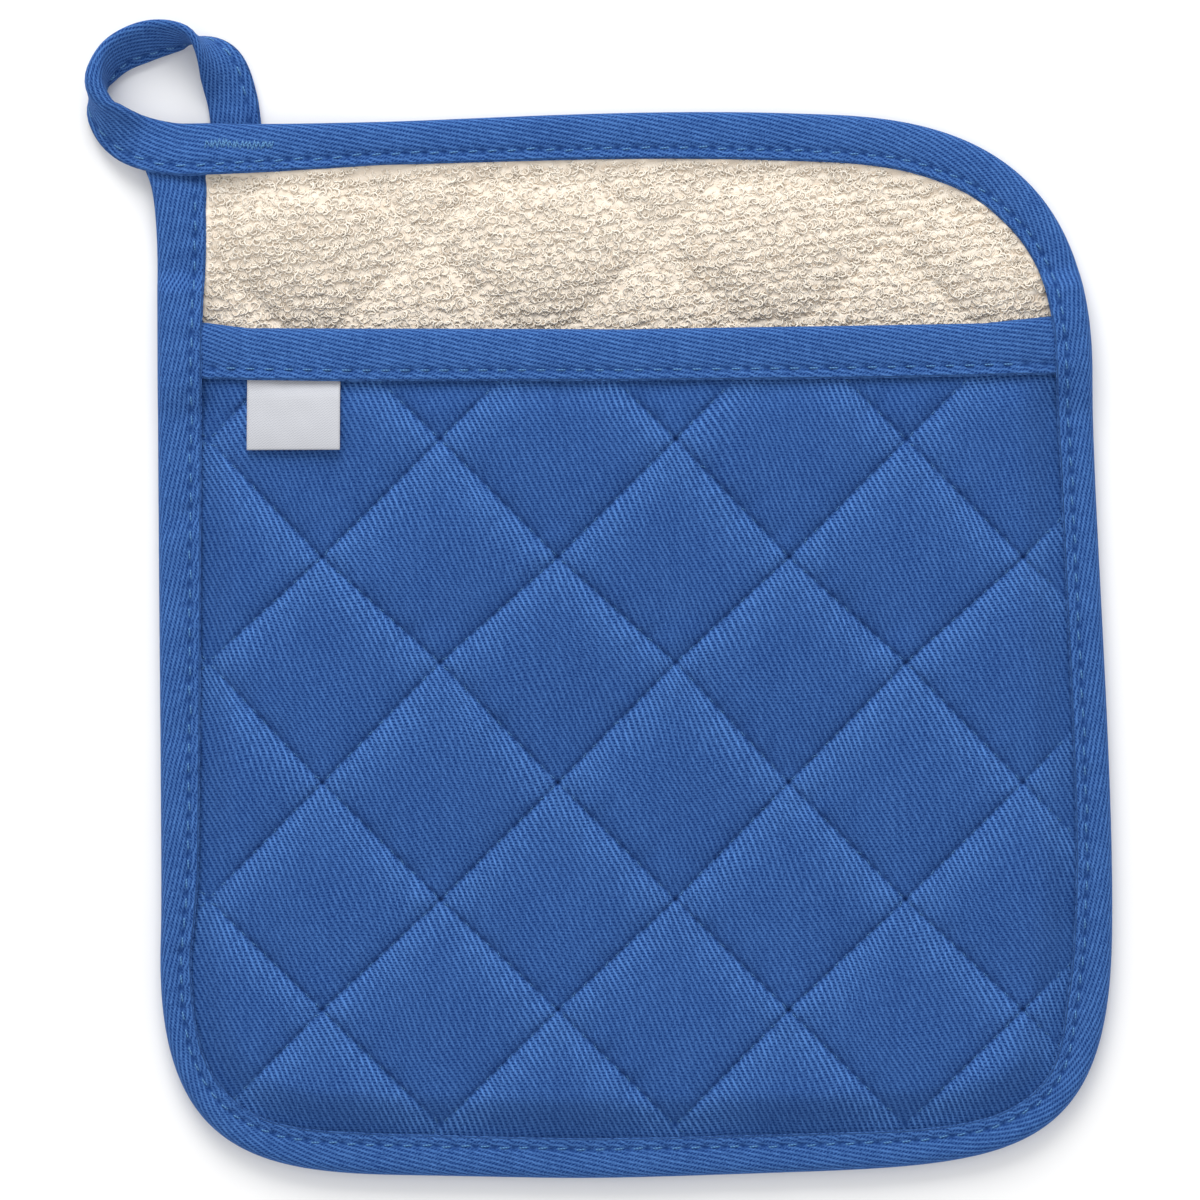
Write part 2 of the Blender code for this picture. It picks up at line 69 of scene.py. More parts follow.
def bell(t):
    """1 at t = 0, fading on both sides as e to the power of -t²."""
    return np.exp(-np.square(t))


def read_table(table, place, column=1):
    """A table's column at places between its rows, whose first column is the place."""
    rows = np.array(table)
    return np.interp(place, rows[:, 0], rows[:, column])


def ripples(x, y, length, seed, waves=14):
    """Uneven waves about `length` long: the sum of sine waves that run every way."""
    dice = np.random.default_rng(seed)
    turn = dice.uniform(0, np.pi, waves)
    size = length * dice.uniform(0.7, 1.6, waves)
    start = dice.uniform(0, 2 * np.pi, waves)
    way = np.asarray(x)[..., None] * np.cos(turn) + np.asarray(y)[..., None] * np.sin(turn)
    return np.sin(2 * np.pi * way / size + start).sum(-1) / np.sqrt(waves / 2)


# %% [markdown]
# ## The camera
#
# The pot holder is seen from straight above. A long lens far away keeps its edges from leaning
# outwards, and the view is 255 mm wide.

# %% Camera
VIEW_WIDTH = 255.0
VIEW_MIDDLE = (-0.06, -0.08)
CAMERA_HEIGHT = 1500.0
SENSOR = 36.0

camera = bpy.data.cameras.new("camera")
camera.sensor_width = SENSOR
camera.lens = SENSOR * CAMERA_HEIGHT / VIEW_WIDTH
camera.clip_end = 20.0
viewer = bpy.data.objects.new("camera", camera)
viewer.location = (VIEW_MIDDLE[0] * MM, VIEW_MIDDLE[1] * MM, (CAMERA_HEIGHT + 4) * MM)
bpy.context.scene.collection.objects.link(viewer)
bpy.context.scene.camera = viewer
print("lens", round(camera.lens, 1), "mm")

# %% [markdown]
# ## The outline and the tape's width
#
# The edge is one line of cubic curves: down the left side, along the bottom, up the right side
# and back along the top. A cubic curve leaves a point along its heading and arrives along the
# next one's, so a few rows give the sides and the round corners. The tape's width is read off
# along that line, because a hand-bound edge is never quite even.

# %% The outline
#            x       y    heading  before  after
OUTLINE = (
    (-95.6, 89.2, -68.0, 0.0, 4.0),
    (-93.9, 72.0, -90.0, 3.0, 60.0),
    (-93.2, -72.0, -92.0, 13.0, 46.0),
    (-42.0, -122.4, -1.0, 31.0, 39.0),
    (32.0, -122.1, 2.0, 39.0, 54.0),
    (109.1, -72.0, 89.0, 49.0, 36.0),
    (104.9, 48.0, 90.0, 28.0, 56.0),
    (42.0, 103.4, 178.0, 19.0, 46.0),
    (-83.5, 101.2, 178.0, 34.0, 0.0),
)
#   along  width
TAPE_WIDTH = (
    (0.0, 12.1),
    (7.0, 10.9),
    (31.0, 9.8),
    (112.0, 8.8),
    (148.0, 8.2),
    (165.0, 6.8),
    (187.0, 6.8),
    (211.0, 7.9),
    (236.0, 9.0),
    (300.0, 8.6),
    (340.0, 8.3),
    (375.0, 7.4),
    (396.0, 7.5),
    (414.0, 8.9),
    (447.0, 7.8),
    (528.0, 7.5),
    (552.0, 8.1),
    (575.0, 8.3),
    (592.0, 9.8),
    (612.0, 10.4),
    (660.0, 10.2),
    (703.0, 9.7),
    (735.0, 9.3),
    (752.0, 10.0),
    (773.0, 11.2),
)
SQUARE_END = 16.0  # the tape's two ends are turned square to the sides over this length


def cubic_line(rows, steps=160):
    """Points of the cubic curves between rows: (1-t)³A + 3t(1-t)²B + 3t²(1-t)C + t³D."""
    rows = np.array(rows)
    heading = np.radians(rows[:, 2])
    way = np.stack([np.cos(heading), np.sin(heading)], axis=1)
    a, d = rows[:-1, :2], rows[1:, :2]
    b = a + rows[:-1, 4:5] * way[:-1]
    c = d - rows[1:, 3:4] * way[1:]
    t = np.linspace(0, 1, steps)[:, None, None]
    points = (1 - t) ** 3 * a + 3 * t * (1 - t) ** 2 * b + 3 * t * t * (1 - t) * c + t**3 * d
    return points.transpose(1, 0, 2).reshape(-1, 2)


def lengths_along(points):
    """How far along its line each point lies: the sum of the steps up to it."""
    steps = np.linalg.norm(np.diff(points, axis=0), axis=1)
    return np.concatenate([[0.0], np.cumsum(steps)])


def columns_at(place, along, values):
    """Every column of `values` read at places along a line."""
    read = [np.interp(place, along, column) for column in np.asarray(values).T]
    return np.stack(read, axis=-1)


def edge_line(count):
    """(along, outer points, directions inwards, widths) at even steps round the edge."""
    dense = cubic_line(OUTLINE)
    dense_along = lengths_along(dense)
    along = np.linspace(0, dense_along[-1], count)
    outer = columns_at(along, dense_along, dense)
    run = np.gradient(outer, axis=0)
    inward = np.stack([-run[:, 1], run[:, 0]], axis=1)
    inward /= np.linalg.norm(inward, axis=1)[:, None]
    start = smooth(1 - along / SQUARE_END)[:, None]
    end = smooth(1 - (along[-1] - along) / SQUARE_END)[:, None]
    inward = inward * (1 - start) + np.array((1.0, 0.0)) * start
    inward = inward * (1 - end) + np.array((0.0, -1.0)) * end
    inward /= np.linalg.norm(inward, axis=1)[:, None]
    return along, outer, inward, read_table(TAPE_WIDTH, along)


RING_COUNT = 260
ALONG, OUTER, INWARD, WIDTH = edge_line(RING_COUNT)
INNER = OUTER + INWARD * WIDTH[:, None]
EDGE_LENGTH = ALONG[-1]
print("tape round the edge:", round(EDGE_LENGTH), "mm")

# %% [markdown]
# ## How far from the seam
#
# A pad is pressed flat inside the tape and swells up as it leaves it, so its height depends on
# the distance to the tape's inner edge. That distance is the shortest one to any straight side
# of a ring of points, with a sign that says whether the place is inside the ring.


# %% Distance to a ring
def to_ring(points, ring):
    """(distances, nearest places on the ring), positive inside.

    Along each side the nearest share is (p - a)·side / side², held between 0 and 1. A place is
    inside when a level line from it crosses an odd number of sides.
    """
    after = np.roll(ring, -1, axis=0)
    side = after - ring
    climb = np.where(side[:, 1] == 0, 1e-9, side[:, 1])
    distances, places = [], []
    for block in np.array_split(points, len(points) // 3000 + 1):
        share = ((block[:, None] - ring) * side).sum(-1) / (side**2).sum(-1)
        foot = ring + share.clip(0, 1)[..., None] * side
        away = np.linalg.norm(block[:, None] - foot, axis=-1)
        best = away.argmin(axis=1)
        rows = np.arange(len(block))
        over = (ring[:, 1] > block[:, 1:]) != (after[:, 1] > block[:, 1:])
        crossing = ring[:, 0] + (block[:, 1:] - ring[:, 1]) * side[:, 0] / climb
        inside = (over & (block[:, :1] < crossing)).sum(axis=1) % 2 == 1
        distances.append(np.where(inside, 1.0, -1.0) * away[rows, best])
        places.append(foot[rows, best])
    return np.concatenate(distances), np.concatenate(places)


def seam_distance(x, y):
    """Distance in from the tape's inner edge, negative under the tape."""
    x, y = np.broadcast_arrays(x, y)
    distance, _ = to_ring(np.stack([x.ravel(), y.ravel()], axis=1), INNER)
    return distance.reshape(x.shape)


print("the middle lies", round(float(seam_distance(0.0, 0.0)), 1), "mm in from the tape")


# %% [markdown]
# ## Heights of the layers
#
# These are the construction's own heights, one function of x and y for each face. From the
# table up: tape, back pad, tape again round the edge; the pocket pad lies on the back pad and
# bows up from it, most at the middle of its mouth, because stiff quilting doesn't lie flat
# after hands have been in it. The top left corner is held up by the loop's end under it.
#
# The cloth could be draped over blocks by a simulation, but it would come to rest a little
# differently from the solids. A height for every place keeps each layer on the one below it.

# %% Height functions
TAPE = 1.1
GAP = 0.3
MOUTH_CLEAR = 0.35
ROLL = 9.0
BACK_UNDER_SEAM = TAPE + GAP
BACK_OVER_SEAM = BACK_UNDER_SEAM + 1.2
BACK_VALLEY = 3.0
BACK_CROWN = 4.6
BACK_GROOVE = 0.9
POCKET_UNDER_SEAM = BACK_OVER_SEAM + 0.4
POCKET_UNDER = 5.1
POCKET_SEAM = 1.1
POCKET_VALLEY = 1.9
POCKET_CROWN = 4.0
MOUTH_SHIFT = TAPE + GAP
MOUTH_BOW = 8.0
BOW_MIDDLE_X = 6.0
BOW_HALF_WIDTH = 91.0
BOW_DEPTH = 135.0
BOW_POWER = 1.3
MOUTH_FADE = 7.0
MOUTH_LAG = 2.0
MOUTH_STEP = (5.5, 10.5)
LIFT = 2.7
LIFT_MIDDLE = (-77.0, 97.0)
LIFT_FULL = 12.0
LIFT_END = 40.0
#     x     top   lower
MOUTH = (
    (-86.0, 59.4, 46.9),
    (-73.0, 57.5, 46.4),
    (-50.0, 57.3, 46.0),
    (5.0, 57.0, 46.0),
    (50.0, 57.8, 46.5),
    (80.0, 58.5, 47.2),
    (97.0, 60.5, 47.6),
)


def swelling(x, y):
    """0 at the seam, 1 where a pad has its full thickness."""
    return smooth(seam_distance(x, y) / ROLL)


def lift(x, y):
    """How far the top left corner is held off the table."""
    away = np.hypot(x - LIFT_MIDDLE[0], y - LIFT_MIDDLE[1])
    return LIFT * smooth((LIFT_END - away) / (LIFT_END - LIFT_FULL))


def mouth_top(x):
    """y of the pocket tape's folded edge."""
    return read_table(MOUTH, x, 1)


def mouth_lower(x):
    """y of the pocket tape's free edge."""
    return read_table(MOUTH, x, 2)


def bow(x, y):
    """The pocket's rise: (1 - u²) to a power across, fading down from the mouth."""
    across = np.clip(1 - ((x - BOW_MIDDLE_X) / BOW_HALF_WIDTH) ** 2, 0, 1) ** BOW_POWER
    return MOUTH_BOW * across * (1 - smooth((mouth_top(x) - y) / BOW_DEPTH))


def below_mouth(x, y):
    """0 inside the pocket's tape, 1 where the pocket pad has its full thickness."""
    return smooth((mouth_lower(x) - y) / MOUTH_FADE)


def tape_slot_over(x, y):
    """Underside of the edge tape's upper layer: low on the back pad alone, higher on both."""
    bare = BACK_OVER_SEAM + GAP
    with_pocket = POCKET_UNDER_SEAM + POCKET_SEAM + GAP
    full, bare_from = MOUTH_STEP
    pocket = smooth((mouth_top(x) + bare_from - y) / (bare_from - full))
    with_pocket = with_pocket + MOUTH_SHIFT * (1 - below_mouth(x, y + MOUTH_LAG))
    return bare + (with_pocket - bare) * pocket + lift(x, y)


highest = bow(BOW_MIDDLE_X, mouth_top(BOW_MIDDLE_X))
print("the pocket bows up by", round(float(highest), 1), "mm at its mouth")


# %% [markdown]
# ## Quilting
#
# The quilting lines cross in a lattice. If every crossing has a column and a row number, the
# lines are where (column + row) / 2 or (column - row) / 2 is a whole number. Those two numbers,
# called a and b here, are the natural grid for the cloth: its lines then run exactly along the
# stitching, where the folds are. The padding is 0 on a line and 1 in the middle of a diamond.

# %% The quilting lattice
POCKET_COLUMNS = (-132.2, -107.6, -82.9, -58.7, -33.6, -8.7, 16.2, 40.2, 65.0, 89.9, 114.6, 139.2)
POCKET_ROWS = (82.9, 58.3, 33.9, 9.0, -13.3, -38.8, -63.6, -87.0, -111.5, -136.0)
BACK_PITCH = 24.6
BACK_COLUMNS = 12.3 + BACK_PITCH * np.arange(-6, 7)
BACK_ROWS = 77.3 - BACK_PITCH * np.arange(-2, 11)
QUILT_POWER = 3.0
LINE_PITCH = BACK_PITCH * np.sqrt(2)  # between two crossings, along a line
print("quilting lines:", round(float(LINE_PITCH), 1), "mm apart")


def lattice(x, y, columns, rows):
    """(a, b) at places on the pot holder."""
    column = np.interp(x, columns, np.arange(len(columns)))
    row = np.interp(-np.asarray(y), -np.asarray(rows), np.arange(len(rows)))
    return (column + row) / 2, (column - row) / 2


def lattice_place(a, b, columns, rows):
    """(x, y) of places on the lattice."""
    x = np.interp(a + b, np.arange(len(columns)), columns)
    y = np.interp(a - b, np.arange(len(rows)), rows)
    return x, y


def off_line(place):
    """Distance from the nearest line, in shares of the way to the next line."""
    return np.abs(place - np.round(place))


def padding(x, y, columns, rows):
    """Product over both families of 1 - (1 - 2 off)³, off being the share off a line."""
    a, b = lattice(x, y, columns, rows)
    rise = [1 - (1 - 2 * off_line(place)) ** QUILT_POWER for place in (a, b)]
    return rise[0] * rise[1]


# %% [markdown]
# A quilting thread pulls the cloth into a narrow furrow, deepest where the needle went in, and
# the cloth beside it gathers into short soft wrinkles that cross the line. Both are small next
# to the diamonds, and without them the quilting looks pressed in a mould.

# %% Furrows and wrinkles of the quilting
STITCHES_A_SIDE = 11  # quilting stitches between two crossings
FURROW = 0.48
FURROW_HALF = 0.45
FURROW_SWING = (0.65, 0.35)  # shares of the depth: steady, and swinging with each stitch
SHOULDER = 0.42  # the padding swells most just beside a line
SHOULDER_PEAK = 3.2  # from the line
SHOULDER_END = 2.6  # in shares of that
WRINKLE = 0.16
WRINKLE_REACH = 4.5
WRINKLE_LENGTH = 6.0
LINES_APART = 91.7  # so far apart in the waves that no two lines wrinkle alike
UNEVEN = 0.16
UNEVEN_LENGTH = 31.0


def line_detail(across, along, seed):
    """Furrow, shoulders and wrinkles of one family of lines.

    The furrow is a bell across the line whose depth swings with each stitch. A shoulder is
    s e to the power of (1 - s), s being the distance from the line in shares of its peak's,
    times a wide bell. A wrinkle is a wave along the line that fades with the distance from it.
    """
    away = off_line(across) * LINE_PITCH
    swing = FURROW_SWING[0] + FURROW_SWING[1] * np.cos(2 * np.pi * along * STITCHES_A_SIDE)
    furrow = FURROW * swing * bell(away / FURROW_HALF)
    share = away / SHOULDER_PEAK
    shoulder = SHOULDER * share * np.exp(1 - share) * bell(share / SHOULDER_END)
    wave = ripples(along * LINE_PITCH, np.round(across) * LINES_APART, WRINKLE_LENGTH, seed)
    fade = bell(away / WRINKLE_REACH) * smooth(away / 1.2 + 0.25)
    return WRINKLE * wave * fade + shoulder - furrow


def quilting_detail(x, y, columns, rows, seed):
    """Both families' furrows and wrinkles, and the cloth's own slow unevenness."""
    a, b = lattice(x, y, columns, rows)
    detail = line_detail(a, b, seed) + line_detail(b, a, seed + 1)
    return detail + UNEVEN * ripples(x, y, UNEVEN_LENGTH, seed + 2)


print("quilting stitches:", round(float(LINE_PITCH / STITCHES_A_SIDE), 2), "mm apart")

# %% Faces of the two pads
DRAWN_UP = 0.4  # the underside is drawn up where the padding is thinner than this share


def back_under(x, y):
    """Underside of the back pad: flat on the table, drawn up along the quilting lines."""
    swell = swelling(x, y)
    press = np.clip(1 - padding(x, y, BACK_COLUMNS, BACK_ROWS) / DRAWN_UP, 0, 1)
    return BACK_UNDER_SEAM * (1 - swell) + BACK_GROOVE * press * swell + lift(x, y)


def back_over(x, y):
    """Top of the back pad."""
    swell = swelling(x, y)
    full = BACK_VALLEY + (BACK_CROWN - BACK_VALLEY) * padding(x, y, BACK_COLUMNS, BACK_ROWS)
    return BACK_OVER_SEAM * (1 - swell) + full * swell + lift(x, y)


def pocket_under(x, y):
    """Underside of the pocket pad."""
    level = POCKET_UNDER_SEAM + (POCKET_UNDER - POCKET_UNDER_SEAM) * swelling(x, y)
    return level + MOUTH_SHIFT * (1 - below_mouth(x, y)) + bow(x, y)


def pocket_over(x, y):
    """Top of the pocket pad."""
    swell = swelling(x, y) * below_mouth(x, y)
    pad = padding(x, y, POCKET_COLUMNS, POCKET_ROWS)
    full = POCKET_VALLEY + (POCKET_CROWN - POCKET_VALLEY) * pad
    return pocket_under(x, y) + POCKET_SEAM + (full - POCKET_SEAM) * swell


# %% [markdown]
# ## Writing meshes
#
# A piece is an array of points and one or more arrays of faces. The points are written in
# metres about the origin. A closed body's volume tells whether its faces point outwards: it is
# the sum of the small pyramids from the origin to each face, and where it is negative all faces
# are turned round. The `weave` map gives each point its place on the flat cloth, in
# millimetres, so that the ribs of a twill follow the tape round its bends.


# %% Faces of grids, and the mesh writer
def grid_faces(rows, columns, wrap=False):
    """Four corners of every cell of a grid of points, row by row."""
    across = columns if wrap else columns - 1
    row, column = np.meshgrid(np.arange(rows - 1), np.arange(across), indexing="ij")
    start = (row * columns + column).ravel()
    after = (row * columns + (column + 1) % columns).ravel()
    return np.stack([start, after, after + columns, start + columns], axis=1)


def volume(points, faces):
    """A sixth of the sum over triangles of a · (b × c)."""
    total = 0.0
    for group in faces:
        for k in range(1, group.shape[1] - 1):
            a, b, c = (points[group[:, corner]] for corner in (0, k, k + 1))
            total += (a * np.cross(b, c)).sum()
    return total / 6


def add_mesh(name, points, faces, finish, weave=None, tint=None, closed=True):
    """One piece from points in millimetres, riding on the pot holder."""
    place = (points.reshape(-1, 3) - MIDDLE) * MM
    if closed and volume(place, faces) < 0:
        faces = [group[:, ::-1] for group in faces]
    corners = np.concatenate([group.ravel() for group in faces])
    counts = np.concatenate([np.full(len(group), group.shape[1]) for group in faces])
    mesh = bpy.data.meshes.new(name)
    mesh.vertices.add(len(place))
    mesh.vertices.foreach_set("co", place.astype(np.float32).ravel())
    mesh.loops.add(len(corners))
    mesh.loops.foreach_set("vertex_index", corners.astype(np.int32))
    mesh.polygons.add(len(counts))
    mesh.polygons.foreach_set("loop_start", (np.cumsum(counts) - counts).astype(np.int32))
    mesh.update(calc_edges=True)
    if weave is not None:
        layer = mesh.uv_layers.new(name="weave")
        flat = weave.reshape(-1, 2)[corners].astype(np.float32)
        layer.uv.foreach_set("vector", flat.ravel())
    if tint is not None:
        shade = mesh.attributes.new("tint", "FLOAT", "POINT")
        shade.data.foreach_set("value", tint.astype(np.float32).ravel())
    mesh.materials.append(finish)
    mesh.shade_smooth()
    piece = bpy.data.objects.new(name, mesh)
    bpy.context.scene.collection.objects.link(piece)
    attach(piece, "root")
    print(name, "-", int((counts - 2).sum()), "triangles")
    return piece


# %% [markdown]
# ## Finishes
#
# The finish of a woven cloth is worked out from where a point lies on the flat cloth. A twill
# has warp yarns that float over three weft yarns and dive under the fourth, and each yarn dives
# one weft later than its neighbour. What the eye sees is a lattice of small dark holes where
# the yarns dive, with slanting ribs between them.
#
# Yarns modelled one by one would need millions of faces. Two families of even stripes make the
# same lattice in a few nodes: the ribs, and the weft rows. A hole is where a groove between two
# ribs meets a weft row. The same numbers drive the colour and the bump, so light and weave agree:
# the colour carries painted light on the ribs and painted shade in the holes.


# %% Node helpers
def new_finish(name):
    """(material, tree, shader) with an empty Principled material."""
    material = bpy.data.materials.new(name)
    material.use_nodes = True
    tree = material.node_tree
    return material, tree, tree.nodes["Principled BSDF"]


def feed(tree, socket, value):
    """A socket takes a number, a colour or another node's output."""
    if isinstance(value, bpy.types.NodeSocket):
        tree.links.new(value, socket)
    else:
        socket.default_value = value


def maths(tree, operation, *values):
    """One step of arithmetic on numbers or outputs."""
    node = tree.nodes.new("ShaderNodeMath")
    node.operation = operation
    for socket, value in zip(node.inputs, values):
        feed(tree, socket, value)
    return node.outputs[0]


def mix_colour(tree, share, first, second):
    """Colour between two others; colours are linear RGB."""
    node = tree.nodes.new("ShaderNodeMix")
    node.data_type = "RGBA"
    feed(tree, node.inputs["Factor"], share)
    feed(tree, node.inputs["A"], (*first, 1))
    feed(tree, node.inputs["B"], (*second, 1))
    return node.outputs["Result"]


def noise(tree, vector, scale, detail=2.0):
    """Smooth noise, about 0.5 on average."""
    node = tree.nodes.new("ShaderNodeTexNoise")
    feed(tree, node.inputs["Vector"], vector)
    node.inputs["Scale"].default_value = scale
    node.inputs["Detail"].default_value = detail
    return node.outputs["Fac"]


def carried(tree, name):
    """A number that the mesh carries at each of its points."""
    node = tree.nodes.new("ShaderNodeAttribute")
    node.attribute_name = name
    return node.outputs["Fac"]


def mapped(tree, vector, turn=0.0, scale=(1.0, 1.0, 1.0)):
    """A place turned by an angle in degrees and scaled."""
    node = tree.nodes.new("ShaderNodeMapping")
    node.inputs["Rotation"].default_value = (0.0, 0.0, np.radians(turn))
    node.inputs["Scale"].default_value = scale
    tree.links.new(vector, node.inputs["Vector"])
    return node.outputs[0]


def flat_place(tree, turn=0.0, wander=0.0):
    """(u, v, vector) in millimetres on the flat cloth, turned by an angle in degrees.

    `wander` shifts the place by a slow noise, as yarns are never quite straight.
    """
    source = tree.nodes.new("ShaderNodeUVMap")
    source.uv_map = "weave"
    vector = source.outputs["UV"]
    if wander:
        drift = tree.nodes.new("ShaderNodeTexNoise")
        drift.inputs["Scale"].default_value = 0.12
        drift.inputs["Detail"].default_value = 5.0
        drift.inputs["Roughness"].default_value = 0.62
        tree.links.new(vector, drift.inputs["Vector"])
        shift = tree.nodes.new("ShaderNodeVectorMath")
        shift.operation = "MULTIPLY_ADD"
        tree.links.new(drift.outputs["Color"], shift.inputs[0])
        shift.inputs[1].default_value = (wander, wander, 0.0)
        tree.links.new(vector, shift.inputs[2])
        vector = shift.outputs[0]
    vector = mapped(tree, vector, turn)
    split = tree.nodes.new("ShaderNodeSeparateXYZ")
    tree.links.new(vector, split.inputs[0])
    return split.outputs[0], split.outputs[1], vector


def bump(tree, shader, height, depth):
    """Relief of a depth in millimetres from a height between 0 and 1."""
    node = tree.nodes.new("ShaderNodeBump")
    node.inputs["Distance"].default_value = depth * MM
    node.inputs["Strength"].default_value = 1.0
    tree.links.new(height, node.inputs["Height"])
    tree.links.new(node.outputs[0], shader.inputs["Normal"])


# %% The weave of a twill
def stripes(pitch, heading):
    """Stripes a millimetre along u and v, from their pitch and the way they follow each other."""
    turn = np.radians(heading)
    return np.cos(turn) / pitch, np.sin(turn) / pitch


def counted(tree, u, v, weights):
    """Stripe number at a place: u times the first weight plus v times the second."""
    return maths(tree, "MULTIPLY_ADD", u, weights[0], maths(tree, "MULTIPLY", v, weights[1]))


def peaks(tree, number, power):
    """1 at every whole number and 0 halfway: (0.5 + 0.5 cos(2π number)) to a power."""
    wave = maths(tree, "COSINE", maths(tree, "MULTIPLY", number, 2 * np.pi))
    return maths(tree, "POWER", maths(tree, "MULTIPLY_ADD", wave, 0.5, 0.5), power)


def about(tree, value, amount, base):
    """base + amount (value - 0.5)"""
    return maths(tree, "MULTIPLY_ADD", maths(tree, "SUBTRACT", value, 0.5), amount, base)


def less(tree, amount, value, base=1.0):
    """base - amount value"""
    return maths(tree, "MULTIPLY_ADD", value, -amount, base)


DIVE_POWER = 1.6  # the higher a power, the narrower the peak
HOLE_POWER = 1.4
GROOVE_POWER = 0.5
DIVE_DIP = 0.2  # how much lower a rib is where a weft row crosses it


def twill_weave(tree, u, v, rib, row):
    """(rib, hole, yarn, chance) of a three-over-one twill, each between 0 and 1.

    With rib number t and weft row w, the warp yarn's number is 4t - w. A rib is high halfway
    between two grooves, and a hole is the product of a groove's peak and a weft row's. `chance`
    is a number that each float has for itself, because no two yarns take the dye alike.
    """
    turns = counted(tree, u, v, rib)
    rows = counted(tree, u, v, row)
    across = maths(tree, "MULTIPLY_ADD", turns, 4.0, maths(tree, "MULTIPLY", rows, -1.0))
    dive = peaks(tree, rows, DIVE_POWER)
    hole = maths(tree, "MULTIPLY", peaks(tree, turns, HOLE_POWER), dive)
    high = less(tree, 1.0, peaks(tree, turns, GROOVE_POWER))
    high = maths(tree, "MULTIPLY", high, less(tree, DIVE_DIP, dive))
    float_id = tree.nodes.new("ShaderNodeCombineXYZ")
    tree.links.new(maths(tree, "FLOOR", across), float_id.inputs[0])
    tree.links.new(maths(tree, "FLOOR", turns), float_id.inputs[1])
    chance = tree.nodes.new("ShaderNodeTexWhiteNoise")
    chance.noise_dimensions = "2D"
    tree.links.new(float_id.outputs[0], chance.inputs["Vector"])
    return high, hole, less(tree, 1.0, peaks(tree, across, 1.0)), chance.outputs["Value"]


# %% Twill of one colour
# A tone is a share of the way from the dark blue to the light one.
GROUND_TONE = 0.31
# Painted light and shade of the weave's relief: the ribs and the crown of each yarn are painted paler,
# and the holes where the yarns dive are painted dark.
RIB_HIGHLIGHT = 0.29
RIB_CHANCE = 0.34  # how much a float may differ from its neighbours
HOLE_SHADE = 0.52
HOLE_SWING = 1.5  # the painted shade in the holes is deeper in one place than in another
YARN_CROWN_LIGHT = 0.07
STREAK_TONE = 0.18  # long streaks beside the yarns
#   noise scale  tone
UNEVEN_DYE = (
    (3.2, 1.2),  # fibres that stand off the cloth
    (0.09, 0.14),  # slow patches
)


def twill(name, dark, light, rib, row, depth):
    """Cotton twill dyed in one colour, with painted light on the ribs and painted shade in the holes.
    """
    material, tree, shader = new_finish(name)
    u, v, place = flat_place(tree, wander=0.3)
    high, hole, yarn, chance = twill_weave(tree, u, v, rib, row)
    # the tint attribute carries painted light and shade: the quilting's furrows and lit slopes, or the
    # dark pits of the tape's stitches
    drawn = carried(tree, "tint")
    streaks = noise(tree, mapped(tree, place, scale=(1.0, 0.04, 1.0)), 1.3)
    weave = maths(tree, "MULTIPLY", high, about(tree, chance, RIB_CHANCE, RIB_HIGHLIGHT))
    hole_shade_here = about(tree, noise(tree, place, 0.9, 3.0), HOLE_SWING, HOLE_SHADE)
    weave = maths(tree, "SUBTRACT", weave, maths(tree, "MULTIPLY", hole, hole_shade_here))
    weave = maths(tree, "MULTIPLY", weave, drawn)
    tone = maths(tree, "ADD", weave, GROUND_TONE)
    tone = about(tree, yarn, YARN_CROWN_LIGHT, tone)
    for scale, amount in UNEVEN_DYE:
        tone = about(tree, noise(tree, place, scale, 3.0), amount, tone)
    tone = about(tree, streaks, STREAK_TONE, tone)
    tone = maths(tree, "MULTIPLY", maths(tree, "MAXIMUM", tone, 0.0), drawn)
    colour = mix_colour(tree, maths(tree, "MINIMUM", tone, 1.0), dark, light)
    tree.links.new(colour, shader.inputs["Base Color"])
    shader.inputs["Roughness"].default_value = 0.9
    shader.inputs["Specular IOR Level"].default_value = 0.12
    shader.inputs["Sheen Weight"].default_value = 0.12
    shader.inputs["Sheen Roughness"].default_value = 0.5
    shader.inputs["Sheen Tint"].default_value = (0.25, 0.5, 1.0, 1.0)
    height = maths(tree, "MULTIPLY_ADD", high, 0.45, maths(tree, "MULTIPLY", yarn, 0.12))
    bump(tree, shader, maths(tree, "MULTIPLY_ADD", hole, -0.4, height), depth)
    return material


# %% The two twills
FACE_RIB = stripes(1.09, 26.6)
FACE_ROW = stripes(0.61, 90.0)
TAPE_RIB = stripes(0.96, 76.9)  # the tape is cut on the slant and pulled
TAPE_ROW = stripes(0.567, 126.9)
BLUE_DARK = (0.003, 0.028, 0.150)
BLUE_LIGHT = (0.084, 0.222, 0.560)
TAPE_LIGHT = (0.096, 0.246, 0.602)

twill_face = twill("blue_twill_cloth", BLUE_DARK, BLUE_LIGHT, FACE_RIB, FACE_ROW, 0.09)
twill_tape = twill("blue_twill_tape", BLUE_DARK, TAPE_LIGHT, TAPE_RIB, TAPE_ROW, 0.10)
print("finishes:", twill_face.name, twill_tape.name)

# %% [markdown]
# Terry is bleached a little, never white. Light bounces many times between its loops before it
# comes out again, so a yarn that is nearly white still looks cream, with soft warm shade deep
# in the pile. The tints paint more of that shade: each loop has its own tint, kept in an
# attribute of the mesh, painted darker towards its feet and between the rows.


